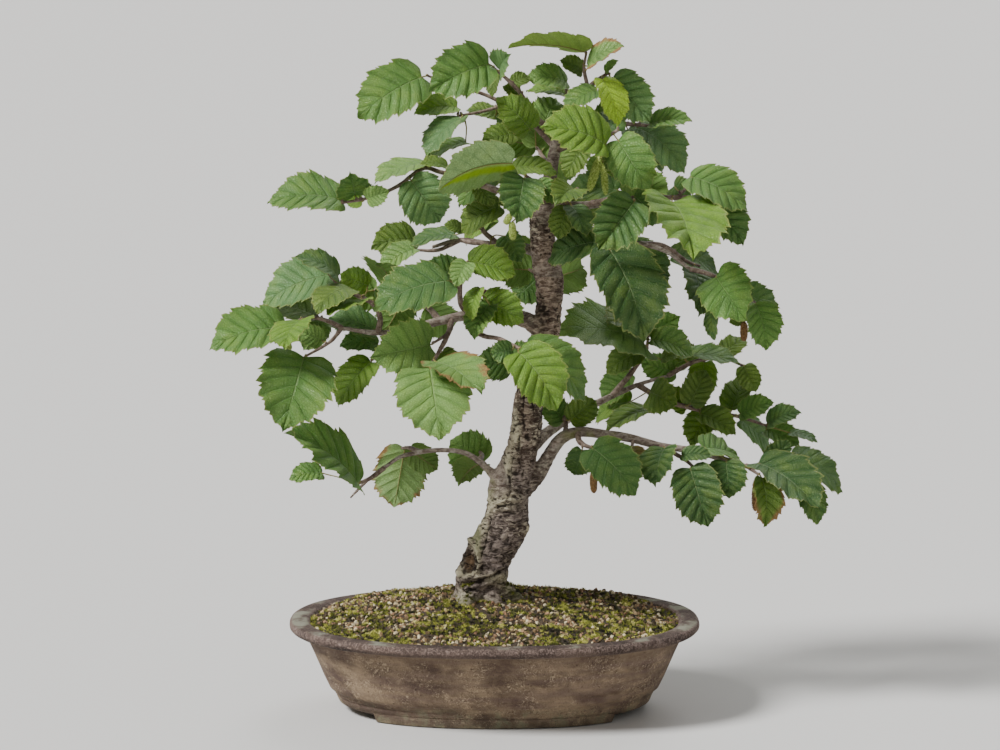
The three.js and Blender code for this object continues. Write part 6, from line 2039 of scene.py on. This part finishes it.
def bark_finish(wire):
    place = wire.here()
    high, age, cream, mauve, algae, hollow = wire.kept(
        "height_in_bark", "age", "cream", "mauve", "algae", "hollow"
    )
    ridge = wire.noise(wire.stretched(place, (1.0, 1.0, 2.2)), 170, 5.0, 0.68, 0.8)
    flake = wire.noise(place, 90, 4.0, 0.65)
    speck = wire.noise(place, 800, 3.0, 0.7)
    zone = wire.noise(place, 30, 3.0, 0.6)
    above, scarred = heights(wire, place, SMOOTHER_BARK, SCARRED_BARK)
    scars = wire.noise(wire.stretched(place, (1.0, 1.0, 2.4)), 72, 2.0).step(0.58, 0.63) * scarred
    rough = ridge.ramp(
        (0.37, (34, 27, 22)), (0.44, (80, 68, 58)), (0.53, (124, 111, 99)), (0.62, (214, 203, 176))
    )
    smooth = wire.painted(
        wire.mix(ridge.step(0.38, 0.6), (52, 43, 38), (146, 131, 123)),
        (above, wire.mix(ridge.step(0.32, 0.66), (88, 69, 58), (186, 164, 144))),
    )
    pale = wire.mix(speck, (180, 168, 136), (236, 228, 198))
    # Smooth and mauve zones, cream patches, partly pale bark and partly a painted highlight, pale flakes
    # on what stands proud, scars, dark cracks, the hollow's bare wood and algae. The flakes and the cracks
    # follow
    # the relief: partly the bark's own colours, and partly a painted highlight and painted shade
    old = wire.painted(
        rough,
        (zone.step(0.42, 0.56) * 0.75, smooth),
        (mauve * 0.8, smooth),
        (cream * (ridge + flake * 0.3).step(0.52, 0.66) * 0.9, pale),
        (high.step(1.2, 2.4) * (1 - mauve * 0.7) * ridge.step(0.44, 0.58) * 0.75, pale),
        (scars * 0.7, (58, 41, 33)),
        ((0 - high).step(0.0, 1.0) * 0.9, (38, 29, 23)),
        (hollow * ridge.step(0.4, 0.56) * 0.9, (140, 112, 84)),
        (algae * flake.step(0.36, 0.52) * 0.7, (122, 130, 84)),
    )
    young = wire.painted(
        wire.mix(ridge.step(0.35, 0.65), (104, 88, 78), (156, 144, 132)),
        (flake.step(0.54, 0.66) * 0.6, (182, 174, 160)),
        (algae * flake.step(0.4, 0.58) * 0.6, (122, 126, 66)),
    )
    relief = ridge * (0.4 + age * 0.8) + flake * 0.3 + speck * 0.25 - scars * 0.5
    return {
        "Base Color": wire.mix(age, young, old), "Roughness": 0.8 + speck * 0.15,
        "Specular IOR Level": 0.3, "Normal": relief.bump(1.0, 2.2),
    }


def mesh_finish(wire):
    """Black plastic, a little dusty with soil."""
    dust = wire.noise(wire.here(), 300, 3.0)
    colour = wire.mix(dust.step(0.5, 0.7) * 0.6, (30, 31, 29), (92, 80, 60))
    return {"Base Color": colour, "Roughness": 0.5 + dust * 0.2}


def dressed(thing, material):
    """Gives an object one material in place of all that it has."""
    thing.data.materials.clear()
    thing.data.materials.append(material)


dressed(pot, new_material("clay", clay_finish))
dressed(wood, new_material("bark", bark_finish))
plastic = new_material("drain mesh", mesh_finish)
for side in ("left", "right"):
    dressed(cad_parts["drain_mesh_" + side], plastic)

for piece, node, slot in (
    (pot, "pot", "pot_clay"), (wood, "trunk", "bark"), (soil, "soil", "soil"),
    (grit, None, "soil"), (moss, None, "soil"),
):
    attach(piece, "root")
    if node:
        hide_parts(node)
print("clay finish:", len(pot.data.materials[0].node_tree.nodes), "nodes")
print("bark finish:", len(wood.data.materials[0].node_tree.nodes), "nodes")

# %% [markdown]
# ## Floor and light
# The floor is plain and pale. The main light is broad and comes from high on the left, as in the
# picture. It and the light from behind have parallel rays with a wide angle, so they are soft and the
# floor is lit evenly, and a weak square light on the right opens the shadows.


# %% The floor and the lights
FLOOR_SIZE = 400
FLOOR_DROP = 0.5 * MM
FLOOR_COLOUR = (0.62, 0.61, 0.59, 1)
CROWN_MIDDLE = Vector((0, 0, 280)) * MM
ROOM_COLOUR = (0.85, 0.85, 0.84, 1)
ROOM_STRENGTH = 0.42

corners = [(x * FLOOR_SIZE / 2, y * FLOOR_SIZE / 2, 0) for x, y in ((-1, -1), (1, -1), (1, 1), (-1, 1))]
floor_material = new_material("floor", lambda wire: {"Base Color": FLOOR_COLOUR, "Roughness": 0.9})
floor = add_object("floor", new_mesh("floor", corners, [(0, 1, 2, 3)]), floor_material)
floor.location.z = -FLOOR_DROP


def add_light(name, kind, strength, turn):
    """A light of a kind, turned by three angles."""
    light = bpy.data.lights.new(name, kind)
    light.energy = strength
    made = linked(name, light)
    made.rotation_euler = turn
    return made


def soft_light(name, place, size, watts, colour):
    """A square area light that faces the crown's middle."""
    toward = CROWN_MIDDLE - Vector(place)
    made = add_light(name, "AREA", watts, toward.to_track_quat("-Z", "Y").to_euler())
    made.location = place
    made.data.size = size
    made.data.color = colour


def sky_light(name, heading, height, angle, strength):
    """A light with parallel rays from a heading round the object and a height, both in degrees."""
    turn = (math.radians(90 - height), 0, math.radians(heading))
    add_light(name, "SUN", strength, turn).data.angle = math.radians(angle)


sky_light("key light", -66, 45, 18, 5.5)
sky_light("back light", 160, 40, 30, 1.0)
soft_light("fill light", (1.6, -1.6, 0.7), 1.4, 3, (1.0, 0.98, 0.95))
world = bpy.data.worlds.new("room")
world.use_nodes = True
room = world.node_tree.nodes["Background"]
room.inputs["Color"].default_value = ROOM_COLOUR
room.inputs["Strength"].default_value = ROOM_STRENGTH
bpy.context.scene.world = world

# %% [markdown]
